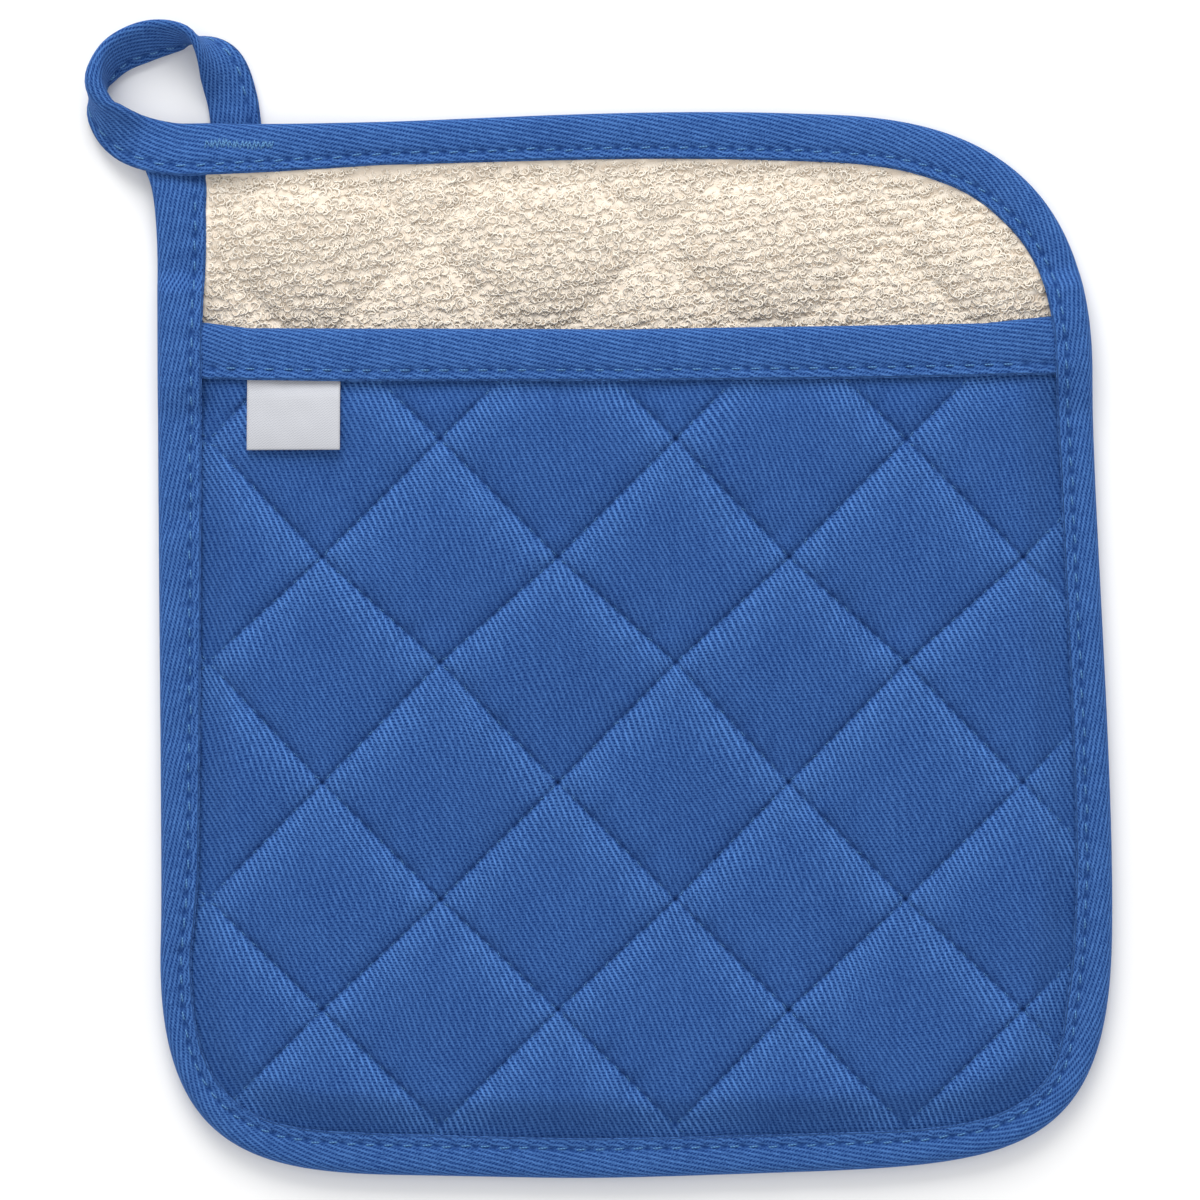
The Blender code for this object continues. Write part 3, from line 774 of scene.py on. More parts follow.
# %% Terry, label and thread
def terry(name, shade, light):
    """Loop yarn: cream, with fine noise for its fibres and a tint, partly painted shade."""
    material, tree, shader = new_finish(name)
    place = tree.nodes.new("ShaderNodeTexCoord")
    fibre = noise(tree, place.outputs["Object"], 4200.0, 3.0)
    share = about(tree, fibre, 0.4, carried(tree, "tint"))
    share = maths(tree, "MINIMUM", maths(tree, "MAXIMUM", share, 0.0), 1.0)
    colour = mix_colour(tree, share, shade, light)
    tree.links.new(colour, shader.inputs["Base Color"])
    shader.inputs["Roughness"].default_value = 0.95
    shader.inputs["Specular IOR Level"].default_value = 0.1
    lumps = noise(tree, place.outputs["Object"], 1300.0, 2.0)
    bump(tree, shader, maths(tree, "MULTIPLY_ADD", fibre, 0.25, lumps), 0.08)
    return material


LABEL_FLOATS = (0.42, 0.55)  # pitch of the label's floats, across them and along them
PLY_PITCH = 0.6  # length of one turn of a thread's plies


def woven_label(name):
    """Satin label cloth: fine slanting floats in pale grey-white."""
    material, tree, shader = new_finish(name)
    u, v, place = flat_place(tree, -35.0, wander=0.15)
    wave = maths(tree, "SINE", maths(tree, "MULTIPLY", v, 2 * np.pi / LABEL_FLOATS[0]))
    beat = maths(tree, "SINE", maths(tree, "MULTIPLY", u, 2 * np.pi / LABEL_FLOATS[1]))
    height = maths(tree, "MULTIPLY_ADD", maths(tree, "MULTIPLY", wave, beat), 0.25, 0.5)
    height = maths(tree, "MULTIPLY_ADD", wave, 0.25, height)
    fibre = noise(tree, place, 5.0, 2.0)
    share = maths(tree, "MULTIPLY_ADD", fibre, 0.3, height)
    colour = mix_colour(tree, share, (0.34, 0.35, 0.39), (0.53, 0.54, 0.575))
    tree.links.new(colour, shader.inputs["Base Color"])
    shader.inputs["Roughness"].default_value = 0.55
    shader.inputs["Sheen Weight"].default_value = 0.1
    bump(tree, shader, height, 0.05)
    return material


def sewing_thread(name, dark, light):
    """Two-ply thread: slanting stripes round it, along the `weave` map's v."""
    material, tree, shader = new_finish(name)
    u, v, _ = flat_place(tree)
    twist = maths(tree, "ADD", maths(tree, "MULTIPLY", u, 2 * np.pi / PLY_PITCH), v)
    ply = maths(tree, "MULTIPLY_ADD", maths(tree, "SINE", twist), 0.5, 0.5)
    colour = mix_colour(tree, ply, dark, light)
    tree.links.new(colour, shader.inputs["Base Color"])
    shader.inputs["Roughness"].default_value = 0.6
    shader.inputs["Specular IOR Level"].default_value = 0.25
    bump(tree, shader, ply, 0.04)
    return material


terry_yarn = terry("terry_yarn", (0.81, 0.72, 0.61), (0.91, 0.84, 0.735))
terry_ground = terry("terry_ground", (0.74, 0.63, 0.51), (0.91, 0.83, 0.72))
label_cloth = woven_label("label_cloth")
thread = sewing_thread("blue_thread_plies", (0.04, 0.13, 0.31), (0.12, 0.30, 0.58))
dull_thread = sewing_thread("dull_thread_plies", (0.015, 0.07, 0.22), (0.08, 0.22, 0.48))
print("finishes:", terry_yarn.name, terry_ground.name, label_cloth.name, thread.name, dull_thread.name)

# %% [markdown]
# ## The quilted cloths
#
# Each pad has two cloths, stitched together along the lattice. The cells of the a, b grid are
# kept where they lie inside the pad's own edge, and corners that fall outside are drawn in to
# the nearest place on that edge, which the tape hides. A grid square to the sides could be
# pressed into shape too, but the furrows would cross its cells and come out jagged. Here they
# run along its lines, and two steps close to each line give the furrow its shape.

# %% Cloth on the lattice
EDGE_INSET = 1.6


def steps_between(count, near_line=()):
    """Shares of the way from one line to the next: even steps, and some close to the lines."""
    near = np.array(near_line) / LINE_PITCH
    return np.unique(np.concatenate([np.arange(count) / count, near, 1 - near]).round(5) % 1)


def lattice_cloth(columns, rows, steps, ring):
    """(x, y, faces, distances from the ring) of the lattice's cells inside a ring."""
    reach = np.arange(-len(rows), len(columns) + len(rows))
    line = (reach[:, None] + steps).ravel()
    a, b = np.meshgrid(line, line, indexing="ij")
    faces = grid_faces(*a.shape)
    a, b = a.ravel(), b.ravel()
    x, y = lattice_place(a, b, columns, rows)
    low, high = ring.min(axis=0) - 4, ring.max(axis=0) + 4
    near = (x > low[0]) & (x < high[0]) & (y > low[1]) & (y < high[1])
    near &= (a + b >= 0) & (a + b <= len(columns) - 1) & (a - b >= 0) & (a - b <= len(rows) - 1)
    distance = np.full(len(x), -9.0)
    distance[near], place = to_ring(np.stack([x[near], y[near]], axis=1), ring)
    nearest = np.zeros((len(x), 2))
    nearest[near] = place
    inside = distance > 0
    kept = inside[faces].any(axis=1) & near[faces].all(axis=1)
    faces = faces[kept]
    used, index = np.unique(faces, return_inverse=True)
    x = np.where(inside, x, nearest[:, 0])[used]
    y = np.where(inside, y, nearest[:, 1])[used]
    return x, y, index.reshape(faces.shape), distance[used].clip(0)


def mouth_place(down, share):
    """Place `down` below the mouth's edge at a share of the way across, crowded at both ends."""
    across = (1 - np.cos(np.pi * share)) / 2
    x = INNER[:, 0].min() * (1 - across) + INNER[:, 0].max() * across
    for _ in range(3):
        y = mouth_top(x) - down
        x = left_inner(y) * (1 - across) + right_inner(y) * across
    return x, y


def left_inner(y):
    """x of the tape's inner edge on the left."""
    side = INNER[: RING_COUNT // 4][::-1]
    return np.interp(y, side[:, 1], side[:, 0])


def right_inner(y):
    """x of the tape's inner edge on the right."""
    side = INNER[RING_COUNT * 3 // 5 : RING_COUNT * 3 // 4]
    return np.interp(y, side[:, 1], side[:, 0])


BACK_RING = OUTER + INWARD * EDGE_INSET
BACK_RING = np.vstack([BACK_RING, (INNER[-1][0] - 0.6, INNER[0][1] + 0.9)])
mouth_x, mouth_y = mouth_place(EDGE_INSET, np.linspace(1, 0, 60))
low_part = BACK_RING[:-1][BACK_RING[:-1, 1] < mouth_y.min() - 0.5]
POCKET_RING = np.vstack([low_part, np.stack([mouth_x, mouth_y], axis=1)])
print("pocket ring", POCKET_RING.shape, "back ring", BACK_RING.shape)

# %% Pocket cloth and its lining
RIM = 1.6  # the two cloths of a pad draw together over this distance from their edge


def together(face, other, distance):
    """Heights of a face whose rim meets the other face halfway."""
    return face + (other - face) / 2 * (1 - smooth(distance / RIM))


BELOW_LINE_LIGHT = 0.42  # painted light: how much paler the ribs are on the slopes just below a line, which face the light
BELOW_LINE_LIGHT_REACH = 6.5
FURROW_SHADE = 0.42  # painted shade: how much darker the furrow is where a stitch draws the cloth in
FURROW_SHADE_HALF = 0.46
FURROW_SHADE_SWING = (0.55, 0.45)
DARKEST = 0.2
WEAVE_DRIFT = 0.35  # how far the weave strays as the cloth is sewn
WEAVE_DRIFT_LENGTH = 26.0


def quilt_light_and_shade(x, y, columns, rows):
    """Painted light and shade of a quilted cloth: 1 in the open, shade painted in dots along a line.

    The slope just below each line faces the light, and painted light makes its ribs stand out
    there, as a bell of the distance down from the line; the rest of each diamond is painted a
    little darker. `a` grows downwards and `b` falls.
    """
    a, b = lattice(x, y, columns, rows)
    dots = 1.0
    for across, along in ((a, b), (b, a)):
        # painted shade in dots along the furrow of each line
        swing = FURROW_SHADE_SWING[0] + FURROW_SHADE_SWING[1] * np.cos(2 * np.pi * along * STITCHES_A_SIDE)
        dots = dots - FURROW_SHADE * swing * bell(off_line(across) * LINE_PITCH / FURROW_SHADE_HALF)
    # painted light on the slopes below each line, which face the light, and painted shade on the rest
    below = np.minimum(a % 1, 1 - b % 1) * LINE_PITCH
    return dots.clip(DARKEST, 1) * (1 + BELOW_LINE_LIGHT * (bell(below / BELOW_LINE_LIGHT_REACH) - 0.3))


def add_cloth(name, columns, rows, steps, ring, height, finish, up, shade=quilt_light_and_shade):
    """A quilted cloth from its height function; `up` says which way it faces."""
    x, y, faces, distance = lattice_cloth(columns, rows, steps, ring)
    z = height(x, y, distance)
    drift = [ripples(x, y, WEAVE_DRIFT_LENGTH, seed) for seed in (5, 6)]
    weave = np.stack([x if up else -x, y], axis=1) + WEAVE_DRIFT * np.stack(drift, axis=1)
    faces = faces if up else faces[:, ::-1]
    points = np.stack([x, y, z], axis=1)
    tint = shade(x, y, columns, rows)
    return add_mesh(name, points, [faces], finish, weave, tint, closed=False)


def pocket_front(x, y, distance):
    """Top of the pocket with its furrows and wrinkles."""
    over, under = pocket_over(x, y), pocket_under(x, y)
    swell = swelling(x, y) * below_mouth(x, y)
    detail = quilting_detail(x, y, POCKET_COLUMNS, POCKET_ROWS, 11)
    return together(over + detail * swell, under, distance)


def pocket_inside(x, y, distance):
    """The lining, towards the hand."""
    return together(pocket_under(x, y), pocket_over(x, y), distance)


FINE = steps_between(3 * STITCHES_A_SIDE, (0.28, 0.6))
MEDIUM = steps_between(2 * STITCHES_A_SIDE, (0.5,))
COARSE = steps_between(10)
pocket_cloth = add_cloth(
    "pocket_cloth", POCKET_COLUMNS, POCKET_ROWS, FINE, POCKET_RING,
    pocket_front, twill_face, True,
)
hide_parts("pocket_panel")
pocket_lining = add_cloth(
    "pocket_lining", POCKET_COLUMNS, POCKET_ROWS, COARSE, POCKET_RING,
    pocket_inside, twill_face, False,
)
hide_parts("pocket_panel")

# %% [markdown]
# The back pad lies on the table: its twill underside is pressed flat where it touches and drawn
# up along the quilting. Its front is the ground cloth of the terry, a little below the tips of
# the loops, and not lower than the tape's edge beside the seam.

# %% Back pad: twill underside and terry ground
PILE = 1.1
UNDER_TAPE = 0.7  # and pressed down by this much more under the tape
UNDER_RELIEF = 0.6  # the table flattens the quilting of the underside to this share


def terry_level(x, y):
    """Height of the terry's ground cloth."""
    seam = seam_distance(x, y)
    sunk = PILE * smooth(0.45 + seam / 3.0) + UNDER_TAPE * smooth(-seam / 1.5)
    return back_over(x, y) - sunk


def ground_tint(x, y, columns, rows):
    """Small uneven patches in the terry's ground cloth."""
    return 0.5 + 0.12 * ripples(x, y, 3.0, 7)


def back_front(x, y, distance):
    """The terry's ground, drawn together with the underside at its rim."""
    return together(terry_level(x, y), back_under(x, y), distance)


def back_twill(x, y, distance):
    """Underside with furrows drawn up, held at or above the table."""
    under = back_under(x, y)
    detail = quilting_detail(x, y, BACK_COLUMNS, BACK_ROWS, 21) * swelling(x, y)
    under = np.maximum(under - detail * UNDER_RELIEF, lift(x, y))
    return together(under, back_over(x, y), distance)


back_cloth = add_cloth(
    "back_cloth", BACK_COLUMNS, BACK_ROWS, MEDIUM, BACK_RING,
    back_twill, twill_face, False,
)
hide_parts("back_panel")
terry_cloth = add_cloth(
    "terry_cloth", BACK_COLUMNS, BACK_ROWS, COARSE, BACK_RING,
    back_front, terry_ground, True, ground_tint,
)
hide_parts("back_panel")

# %% [markdown]
# ## The folded tape
#
# Binding tape is folded over an edge, so its section is a long U: an upper layer, a rounded
# nose round the fold, a lower layer, and the same line back on the inside. The section is
# worked out in two numbers, the distance in from the fold and the height, and carried along
# the edge. Past the top left corner nothing lies inside the fold, the two layers close on each
# other, and the tape turns over as it goes round the loop. A curve with a bevel would give it
# one even section all the way. Worked out station by station, it can swell, pucker and close.

# %% The loop's path
#     x       y      z    roll  width  thick
LOOP = (
    (-83.8, 95.5, 4.6, 0.0, 11.3, 3.6),
    (-91.2, 95.7, 4.2, 0.0, 11.3, 2.8),
    (-99.2, 98.0, 4.2, 12.0, 11.0, 2.3),
    (-104.5, 102.6, 5.4, 50.0, 10.8, 3.0),
    (-106.1, 106.2, 6.0, 80.0, 10.8, 3.9),
    (-106.3, 110.6, 6.2, 100.0, 10.8, 3.7),
    (-102.7, 115.5, 5.2, 127.0, 10.8, 2.1),
    (-96.5, 118.6, 4.9, 133.0, 10.8, 2.1),
    (-90.2, 119.7, 5.6, 117.0, 10.8, 2.1),
    (-86.0, 118.9, 6.0, 90.0, 10.8, 2.1),
    (-81.0, 114.2, 4.0, 32.0, 10.8, 2.1),
    (-78.4, 107.8, 1.4, 3.0, 10.8, 2.0),
    (-77.3, 101.2, 1.05, 0.0, 10.8, 2.0),
    (-76.7, 93.2, 1.05, 0.0, 10.8, 2.0),
)


def through(rows, count):
    """Catmull-Rom curve through every column of the rows.

    Between rows b and c, with a before and d after, it is b + t/2 (c - a + t (2a - 5b + 4c - d
    + t (3b - a - 3c + d))).
    """
    rows = np.array(rows, float)
    ends = np.vstack([2 * rows[0] - rows[1], rows, 2 * rows[-1] - rows[-2]])
    place = np.linspace(0, len(rows) - 1, count)
    k = np.minimum(place.astype(int), len(rows) - 2)
    t = (place - k)[:, None]
    a, b, c, d = (ends[k + step] for step in range(4))
    return b + 0.5 * t * (c - a + t * (2 * a - 5 * b + 4 * c - d + t * (3 * b - a - 3 * c + d)))


LEVEL = LOOP[0][2]  # height that the edge tape's own heights are counted from
START_HIDDEN = 3.2  # the tape's first end runs on under the top run by this much
BEFORE_LOOP = 0.3  # from the end of the edge to the loop's first row


def tape_line():
    """Columns along the whole tape: fold (3), inwards (3), up (3), width, thickness."""
    along, outer, inward, width = edge_line(900)
    heading = np.radians(OUTLINE[0][2])
    back = -START_HIDDEN * np.array((np.cos(heading), np.sin(heading)))
    along = np.concatenate([[-START_HIDDEN], along])
    outer = np.vstack([outer[0] + back, outer])
    inward = np.vstack([inward[0], inward])
    width = np.concatenate([[width[0] - back[0]], width])
    zero = np.zeros((len(along), 1))
    fold = np.hstack([outer, zero + LEVEL])
    across = np.hstack([inward, zero])
    up = np.hstack([zero, zero, zero + 1])
    edge = np.hstack([fold, across, up, width[:, None], zero + LOOP[0][5]])
    rows = through(LOOP, 300)
    middle, roll = rows[:, :3], np.radians(rows[:, 3:4])
    run = np.gradient(middle, axis=0)
    run[0], run[-1] = (-1.0, 0.0, 0.0), (0.0, -1.0, 0.0)
    run[:, 2] *= 0.3
    run /= np.linalg.norm(run, axis=1)[:, None]
    level = np.cross((0.0, 0.0, 1.0), run)
    level /= np.linalg.norm(level, axis=1)[:, None]
    above = np.cross(run, level)
    across = np.cos(roll) * level - np.sin(roll) * above
    up = np.cross(run, across)
    fold = middle - across * rows[:, 4:5] / 2
    loop = np.hstack([fold, across, up, rows[:, 4:6]])
    loop_along = EDGE_LENGTH + BEFORE_LOOP + lengths_along(middle)
    return np.concatenate([along, loop_along]), np.vstack([edge, loop])


TAPE_ALONG, TAPE_COLUMNS = tape_line()
TAPE_LENGTH = TAPE_ALONG[-1]
print("whole tape:", round(TAPE_LENGTH), "mm")

# %% [markdown]
# The topstitching pulls the tape down in a line about 2.4 mm from its free edge. Outside that
# line the tape is puffed up by what it holds, and along it the cloth puckers a little at every
# stitch. A few wider creases are listed where the real tape has them.

# %% Relief of the tape
STITCH_PITCH = 4.1
STITCH_IN = 2.4  # from the free edge
VALLEY = 0.16
VALLEY_HALF = 0.8
PIT = 0.50  # deeper at each end of a stitch
PIT_HALF = (0.80, 0.48)  # along and across
# painted shade in the pit at each end of a stitch
PIT_SHADE = 0.85
FIRST_PULL = 1.0  # along the tape, where the stitching starts to draw it down
PUFF = 0.30
PUCKER = 0.09
NOSE = 1.9  # how far in the fold is rounded
CREASE_LEAN = 0.35  # a crease slants by this much for each step inwards
#    along  length  depth
TAPE_CREASES = (
    (73.0, 2.6, 0.45),
    (79.0, 2.2, -0.20),
    (119.0, 2.4, 0.40),
    (126.0, 3.0, -0.18),
    (171.0, 2.0, 0.16),
    (214.0, 2.6, 0.14),
    (352.0, 2.2, 0.16),
    (392.0, 3.0, 0.20),
    (446.0, 2.6, 0.15),
    (548.0, 2.4, 0.30),
    (554.0, 2.2, -0.20),
    (604.0, 2.4, 0.22),
    (622.0, 2.8, 0.18),
    (748.0, 2.0, 0.25),
)


def stitch_pit(along, from_line):
    """1 where a stitch dives, fading as one bell along the stitching and one across it."""
    from_hole = (along / STITCH_PITCH + 0.5) % 1 - 0.5
    return bell(from_hole * STITCH_PITCH / PIT_HALF[0]) * bell(from_line / PIT_HALF[1])


def tape_relief(along, inwards, width, seed):
    """Height added to a tape's face: puff outside the stitching, valley along it, puckers."""
    line = width - STITCH_IN
    from_line = inwards - line
    valley = VALLEY * bell(from_line / VALLEY_HALF) + PIT * stitch_pit(along, from_line)
    valley = valley * smooth((along - FIRST_PULL) / 2.0)
    puff = PUFF * np.sin(np.pi * np.clip(inwards / line, 0, 1)) ** 1.2
    wave = ripples(along, inwards * 0.25, 5.2, seed) * bell(from_line / 2.6)
    slow = 0.07 * ripples(along, inwards * 0.7, 19.0, seed + 1)
    return puff - valley + PUCKER * wave + slow


def creases(along, inwards, table):
    """Soft troughs across the tape, from a table of place, length and depth."""
    rows = np.array(table)
    lean = along[..., None] + CREASE_LEAN * inwards[..., None] - rows[:, 0]
    return -(rows[:, 2] * bell(lean / rows[:, 1])).sum(-1)


print("creases placed by hand:", len(TAPE_CREASES))


# %% Faces of the whole tape
JOIN = 5.0  # over which the edge's section turns into the loop's
OVER_MOUTH = 0.9  # the edge tape rides up where the pocket's tape runs under it
OVER_MOUTH_HALF = 10.5  # either side of the middle of the pocket's tape
OVER_MOUTH_FADE = 5.0
SIDES_END = 600.0  # along the tape: past this there is no pocket under it
OVER_START = 0.8  # it also rides up where the top run covers the tape's first end
COVER = (16.0, 17.0)  # from this far before the edge's end to this far past it
COVER_FADE = (9.0, 6.0)
#  along  upper  lower: how far the first end is drawn in from its two faces
START_IN = (
    (-4.0, 1.55, 1.3),
    (0.0, 1.5, 1.25),
    (1.5, 1.2, 0.9),
    (5.0, 0.6, 0.3),
    (16.0, 0.0, 0.0),
)


def over_start(along, inwards):
    """Rise of the top run over the tape's first end: most at its free edge."""
    begun = smooth((along - EDGE_LENGTH + COVER[0]) / COVER_FADE[0])
    near = begun * smooth((EDGE_LENGTH + COVER[1] - along) / COVER_FADE[1])
    return OVER_START * near * smooth((inwards - 2.0) / 6.0)


def tape_frame(along):
    """(fold, inwards, up, width, thickness, loop share) at places along the tape."""
    row = columns_at(along, TAPE_ALONG, TAPE_COLUMNS)
    across = row[..., 3:6] / np.linalg.norm(row[..., 3:6], axis=-1, keepdims=True)
    up = row[..., 6:9] / np.linalg.norm(row[..., 6:9], axis=-1, keepdims=True)
    share = smooth((along - EDGE_LENGTH + JOIN / 2) / JOIN)
    return row[..., 0:3], across, up, row[..., 9], row[..., 10], share


def tape_heights(along, inwards, side):
    """Height of the upper (side 1) or lower (side -1) face, from the fold's level."""
    fold, across, _, width, thick, share = tape_frame(along)
    x = fold[..., 0] + across[..., 0] * inwards
    y = fold[..., 1] + across[..., 1] * inwards
    edge_share = 1 - share
    relief = tape_relief(along, inwards, width, 31 if side > 0 else 41)
    if side > 0:
        over = tape_slot_over(x, y) + TAPE - LEVEL
        middle = (mouth_top(x) + mouth_lower(x)) / 2
        beside = (OVER_MOUTH_HALF - np.abs(y - middle)) / OVER_MOUTH_FADE
        ride = OVER_MOUTH * smooth(beside) * smooth(inwards / width * 1.6) * (along < SIDES_END)
        over = over + ride + creases(along, inwards, TAPE_CREASES) * edge_share
        over = over - read_table(START_IN, along, 1)
        relief = relief * (1 - 0.5 * share) + over_start(along, inwards)
    else:
        over = lift(x, y) - LEVEL + read_table(START_IN, along, 2)
        relief = -np.minimum(relief, 0.0)
    return over * edge_share + side * thick / 2 * share + relief


def tape_point(along, inwards, side, height=0.0):
    """Place on a face of the tape, raised by a height."""
    fold, across, up, _, _, _ = tape_frame(along)
    level = tape_heights(along, inwards, side) + side * height
    return fold + across * inwards[..., None] + up * level[..., None]


# %% [markdown]
# The section is made of five runs of points: over the upper layer, round the nose, back under
# the lower layer, then along the inside of both. Each free edge is a half circle, because the
# tape's raw edge is folded in there.

# %% The tape's section
TAPE_LAYER = TAPE * 0.92  # a layer is a little thinner than the solid that it dresses
UPPER_SHARES = np.linspace(0.0, 1.0, 18)
FREE_TURN = np.radians((60.0, 25.0, -25.0, -60.0))
NOSE_TURN = np.radians(np.linspace(90, -90, 11))
print("points over the upper layer:", len(UPPER_SHARES), "and round the fold:", len(NOSE_TURN))


def section(width, heights, layer, slot_gap, nose=NOSE):
    """(distances in, heights) round a folded tape, for each station, from its upper free edge.

    `heights(inwards, side)` gives the outer faces. The inner ones lie a layer's thickness
    inside them, no closer together than the gap.
    """
    edge = layer / 2
    inner = width - edge
    shares = UPPER_SHARES[None, :]
    out = nose + (inner - nose)[:, None] * (1 - shares)
    top = heights(out, 1)
    back = out[:, ::-1]
    bottom = heights(back, -1)
    nose_in = nose * (1 - np.cos(NOSE_TURN))[None, :] + 0 * out[:, :1]
    half = (top[:, -1:] - bottom[:, :1]) / 2
    nose_z = (top[:, -1:] + bottom[:, :1]) / 2 + half * np.sin(NOSE_TURN)[None, :]
    deep = np.linspace(0, 1, 7)[None, :]
    slot_in = inner[:, None] * (1 - deep) + (layer + 0.2) * deep
    slot_top = heights(slot_in, 1) - layer
    slot_bottom = np.minimum(heights(slot_in, -1) + layer, slot_top - slot_gap)
    turn = FREE_TURN[None, :]
    low_z = bottom[:, -1:] * 0.5 + slot_bottom[:, :1] * 0.5
    low_half = (slot_bottom[:, :1] - bottom[:, -1:]) / 2
    high_z = top[:, :1] * 0.5 + slot_top[:, :1] * 0.5
    high_half = (top[:, :1] - slot_top[:, :1]) / 2
    free_in = inner[:, None] + edge * np.cos(turn)
    inwards = [out, nose_in[:, 1:-1], back, free_in, slot_in, slot_in[:, ::-1], free_in]
    level = [
        top,
        nose_z[:, 1:-1],
        bottom,
        low_z - low_half * np.sin(turn),
        slot_bottom,
        slot_top[:, ::-1],
        high_z - high_half * np.sin(turn),
    ]
    return np.hstack(inwards), np.hstack(level)


def section_weave(along, inwards, level):
    """Place on the flat tape: along it, and round the section from the fold."""
    step = np.hypot(np.diff(inwards, axis=1), np.diff(level, axis=1))
    round_it = np.hstack([np.zeros((len(along), 1)), np.cumsum(step, axis=1)])
    fold = len(UPPER_SHARES) + (len(NOSE_TURN) - 2) // 2
    v = round_it[:, fold : fold + 1] - round_it
    u = along[:, None] + 0 * v
    return np.stack([u, v], axis=-1)


def pits_shade(along, inwards, width):
    """Painted shade of a tape: darker in the pits where its stitches dive."""
    return 1.0 - PIT_SHADE * stitch_pit(along, inwards - (width - STITCH_IN))


def add_tape(name, along, inwards, points, level, finish, way=1):
    """A closed piece from sections along a tape, with a face at either end.

    `way` is -1 where the tape's fold is on the left of its run, so that its right side shows.
    """
    rows, columns = inwards.shape
    ends = np.stack([np.arange(columns)[::-1], (rows - 1) * columns + np.arange(columns)])
    faces = [grid_faces(rows, columns, wrap=True), ends]
    weave = section_weave(along, inwards, level) * (way, 1)
    width = inwards.max(axis=1, keepdims=True)
    tint = pits_shade(along[:, None], inwards, width)
    return add_mesh(name, points, faces, finish, weave, tint)


# %% Edge tape and loop
STATIONS_A_STITCH = 4
station = np.arange(TAPE_ALONG[0], TAPE_LENGTH, STITCH_PITCH / STATIONS_A_STITCH)
station_width = tape_frame(station)[3]
print("stations along the tape:", len(station))


def edge_heights(inwards, side):
    """Outer faces of the edge tape at every station."""
    along = station[:, None] + 0 * inwards
    return tape_heights(along, inwards, side)


tape_in, tape_level = section(station_width, edge_heights, TAPE_LAYER, slot_gap=0.08)
fold, across, up, _, _, _ = tape_frame(station)
tape_points = fold[:, None] + across[:, None] * tape_in[..., None] + up[:, None] * tape_level[..., None]
edge_tape = add_tape("edge_tape", station, tape_in, tape_points, tape_level, twill_tape)
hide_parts("edge_binding", "hanging_loop")

# %% [markdown]
# The pocket's own tape is made the same way, over the pocket's top edge. Its lower edge is
# lifted a little where the label runs in under it, and its ends dip under the edge tape.

# %% Pocket tape
LABEL_LEFT = -74.5
LABEL_RIGHT = -54.7
LABEL_BOTTOM = 31.6
LABEL_LIFT = 0.55
RUN_UNDER = 1.8  # how far the pocket's tape runs in under the edge tape

pocket_share = np.linspace(0.0, 1.0, 190)
left_end, right_end = mouth_place(5.0, np.array([0.0, 1.0]))[0]
cross_x, cross_y = mouth_place(0.0, pocket_share)
pocket_along = lengths_along(np.stack([cross_x, cross_y], axis=1))
pocket_width = cross_y - mouth_lower(cross_x)


def pocket_tape_place(inwards):
    """x and y on the pocket's tape, at distances down from its folded edge."""
    x, y = mouth_place(inwards, pocket_share[:, None])
    stretch = 1 + 2 * RUN_UNDER / (right_end - left_end)
    middle = (left_end + right_end) / 2
    return middle + (x - middle) * stretch, y


def pocket_tape_over(x, y, along, inwards, width):
    """Upper face of the pocket's tape, on the pad that it holds, raised where the label is."""
    relief = tape_relief(along, inwards, width, 51)
    beside = np.maximum(LABEL_LEFT - x, x - LABEL_RIGHT)
    under = LABEL_LIFT * smooth(1 - beside / 2.5) * smooth((inwards - 6.0) / 4.5)
    return pocket_over(x, y) + MOUTH_CLEAR + TAPE + relief + under


def pocket_tape_heights(inwards, side):
    """Outer faces of the pocket's tape, pressed together at its two ends."""
    x, y = pocket_tape_place(inwards)
    along = pocket_along[:, None] + 0 * inwards
    width = pocket_width[:, None]
    ends = 0.5 * (1 - smooth((1 - np.abs(2 * pocket_share[:, None] - 1)) / 0.03))
    if side > 0:
        return pocket_tape_over(x, y, along, inwards, width) - ends
    relief = tape_relief(along, inwards, width, 61)
    return pocket_under(x, y) - MOUTH_CLEAR - TAPE - np.minimum(relief, 0.0) + ends


pocket_in, pocket_level = section(pocket_width, pocket_tape_heights, TAPE_LAYER, slot_gap=0.3)
pocket_x, pocket_y = pocket_tape_place(pocket_in)
pocket_points = np.stack([pocket_x, pocket_y, pocket_level], axis=-1)
pocket_tape = add_tape(
    "pocket_tape", pocket_along, pocket_in, pocket_points, pocket_level,
    twill_tape, way=-1,
)
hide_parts("pocket_binding")

# %% [markdown]
# ## The label
#
# A small woven label folded double, its fold at the bottom and its two ends caught under the
# pocket's tape. It is stiffer than the quilting, so it bridges the hollows and throws a thin
# shadow at its lower edge. A flat card would be simpler and would look like paper. The folded
# section of the tapes makes it as well, carried from left to right.

# %% Label
LABEL_LAYER = 0.32
LABEL_NOSE = 0.4
LABEL_CLEAR = 0.12
LABEL_BOTTOM_RISE = 0.55  # its fold stands off the pocket
label_x = np.linspace(LABEL_LEFT, LABEL_RIGHT, 34)
label_top = mouth_lower(label_x).min() + 1.6


def stiff_terms(x, y):
    """1, x, y, x², xy and y² in shares of the label's size: a sheet that only bends gently."""
    s, t = (x - label_x.mean()) / 10, (y - LABEL_BOTTOM) / 15
    s, t = np.broadcast_arrays(s, t)
    return np.stack([np.ones_like(s), s, t, s * s, s * t, t * t], axis=-1)


under_x, under_y = np.meshgrid(label_x, np.linspace(LABEL_BOTTOM, label_top - 3.0, 24))
rest = pocket_over(under_x, under_y)
terms = stiff_terms(under_x, under_y)
bend = np.linalg.lstsq(terms.reshape(-1, 6), rest.ravel(), rcond=None)[0]
rise = (rest - terms @ bend).max() + LABEL_CLEAR
print("label stands", round(float(rise), 2), "mm above the mean of the pocket under it")


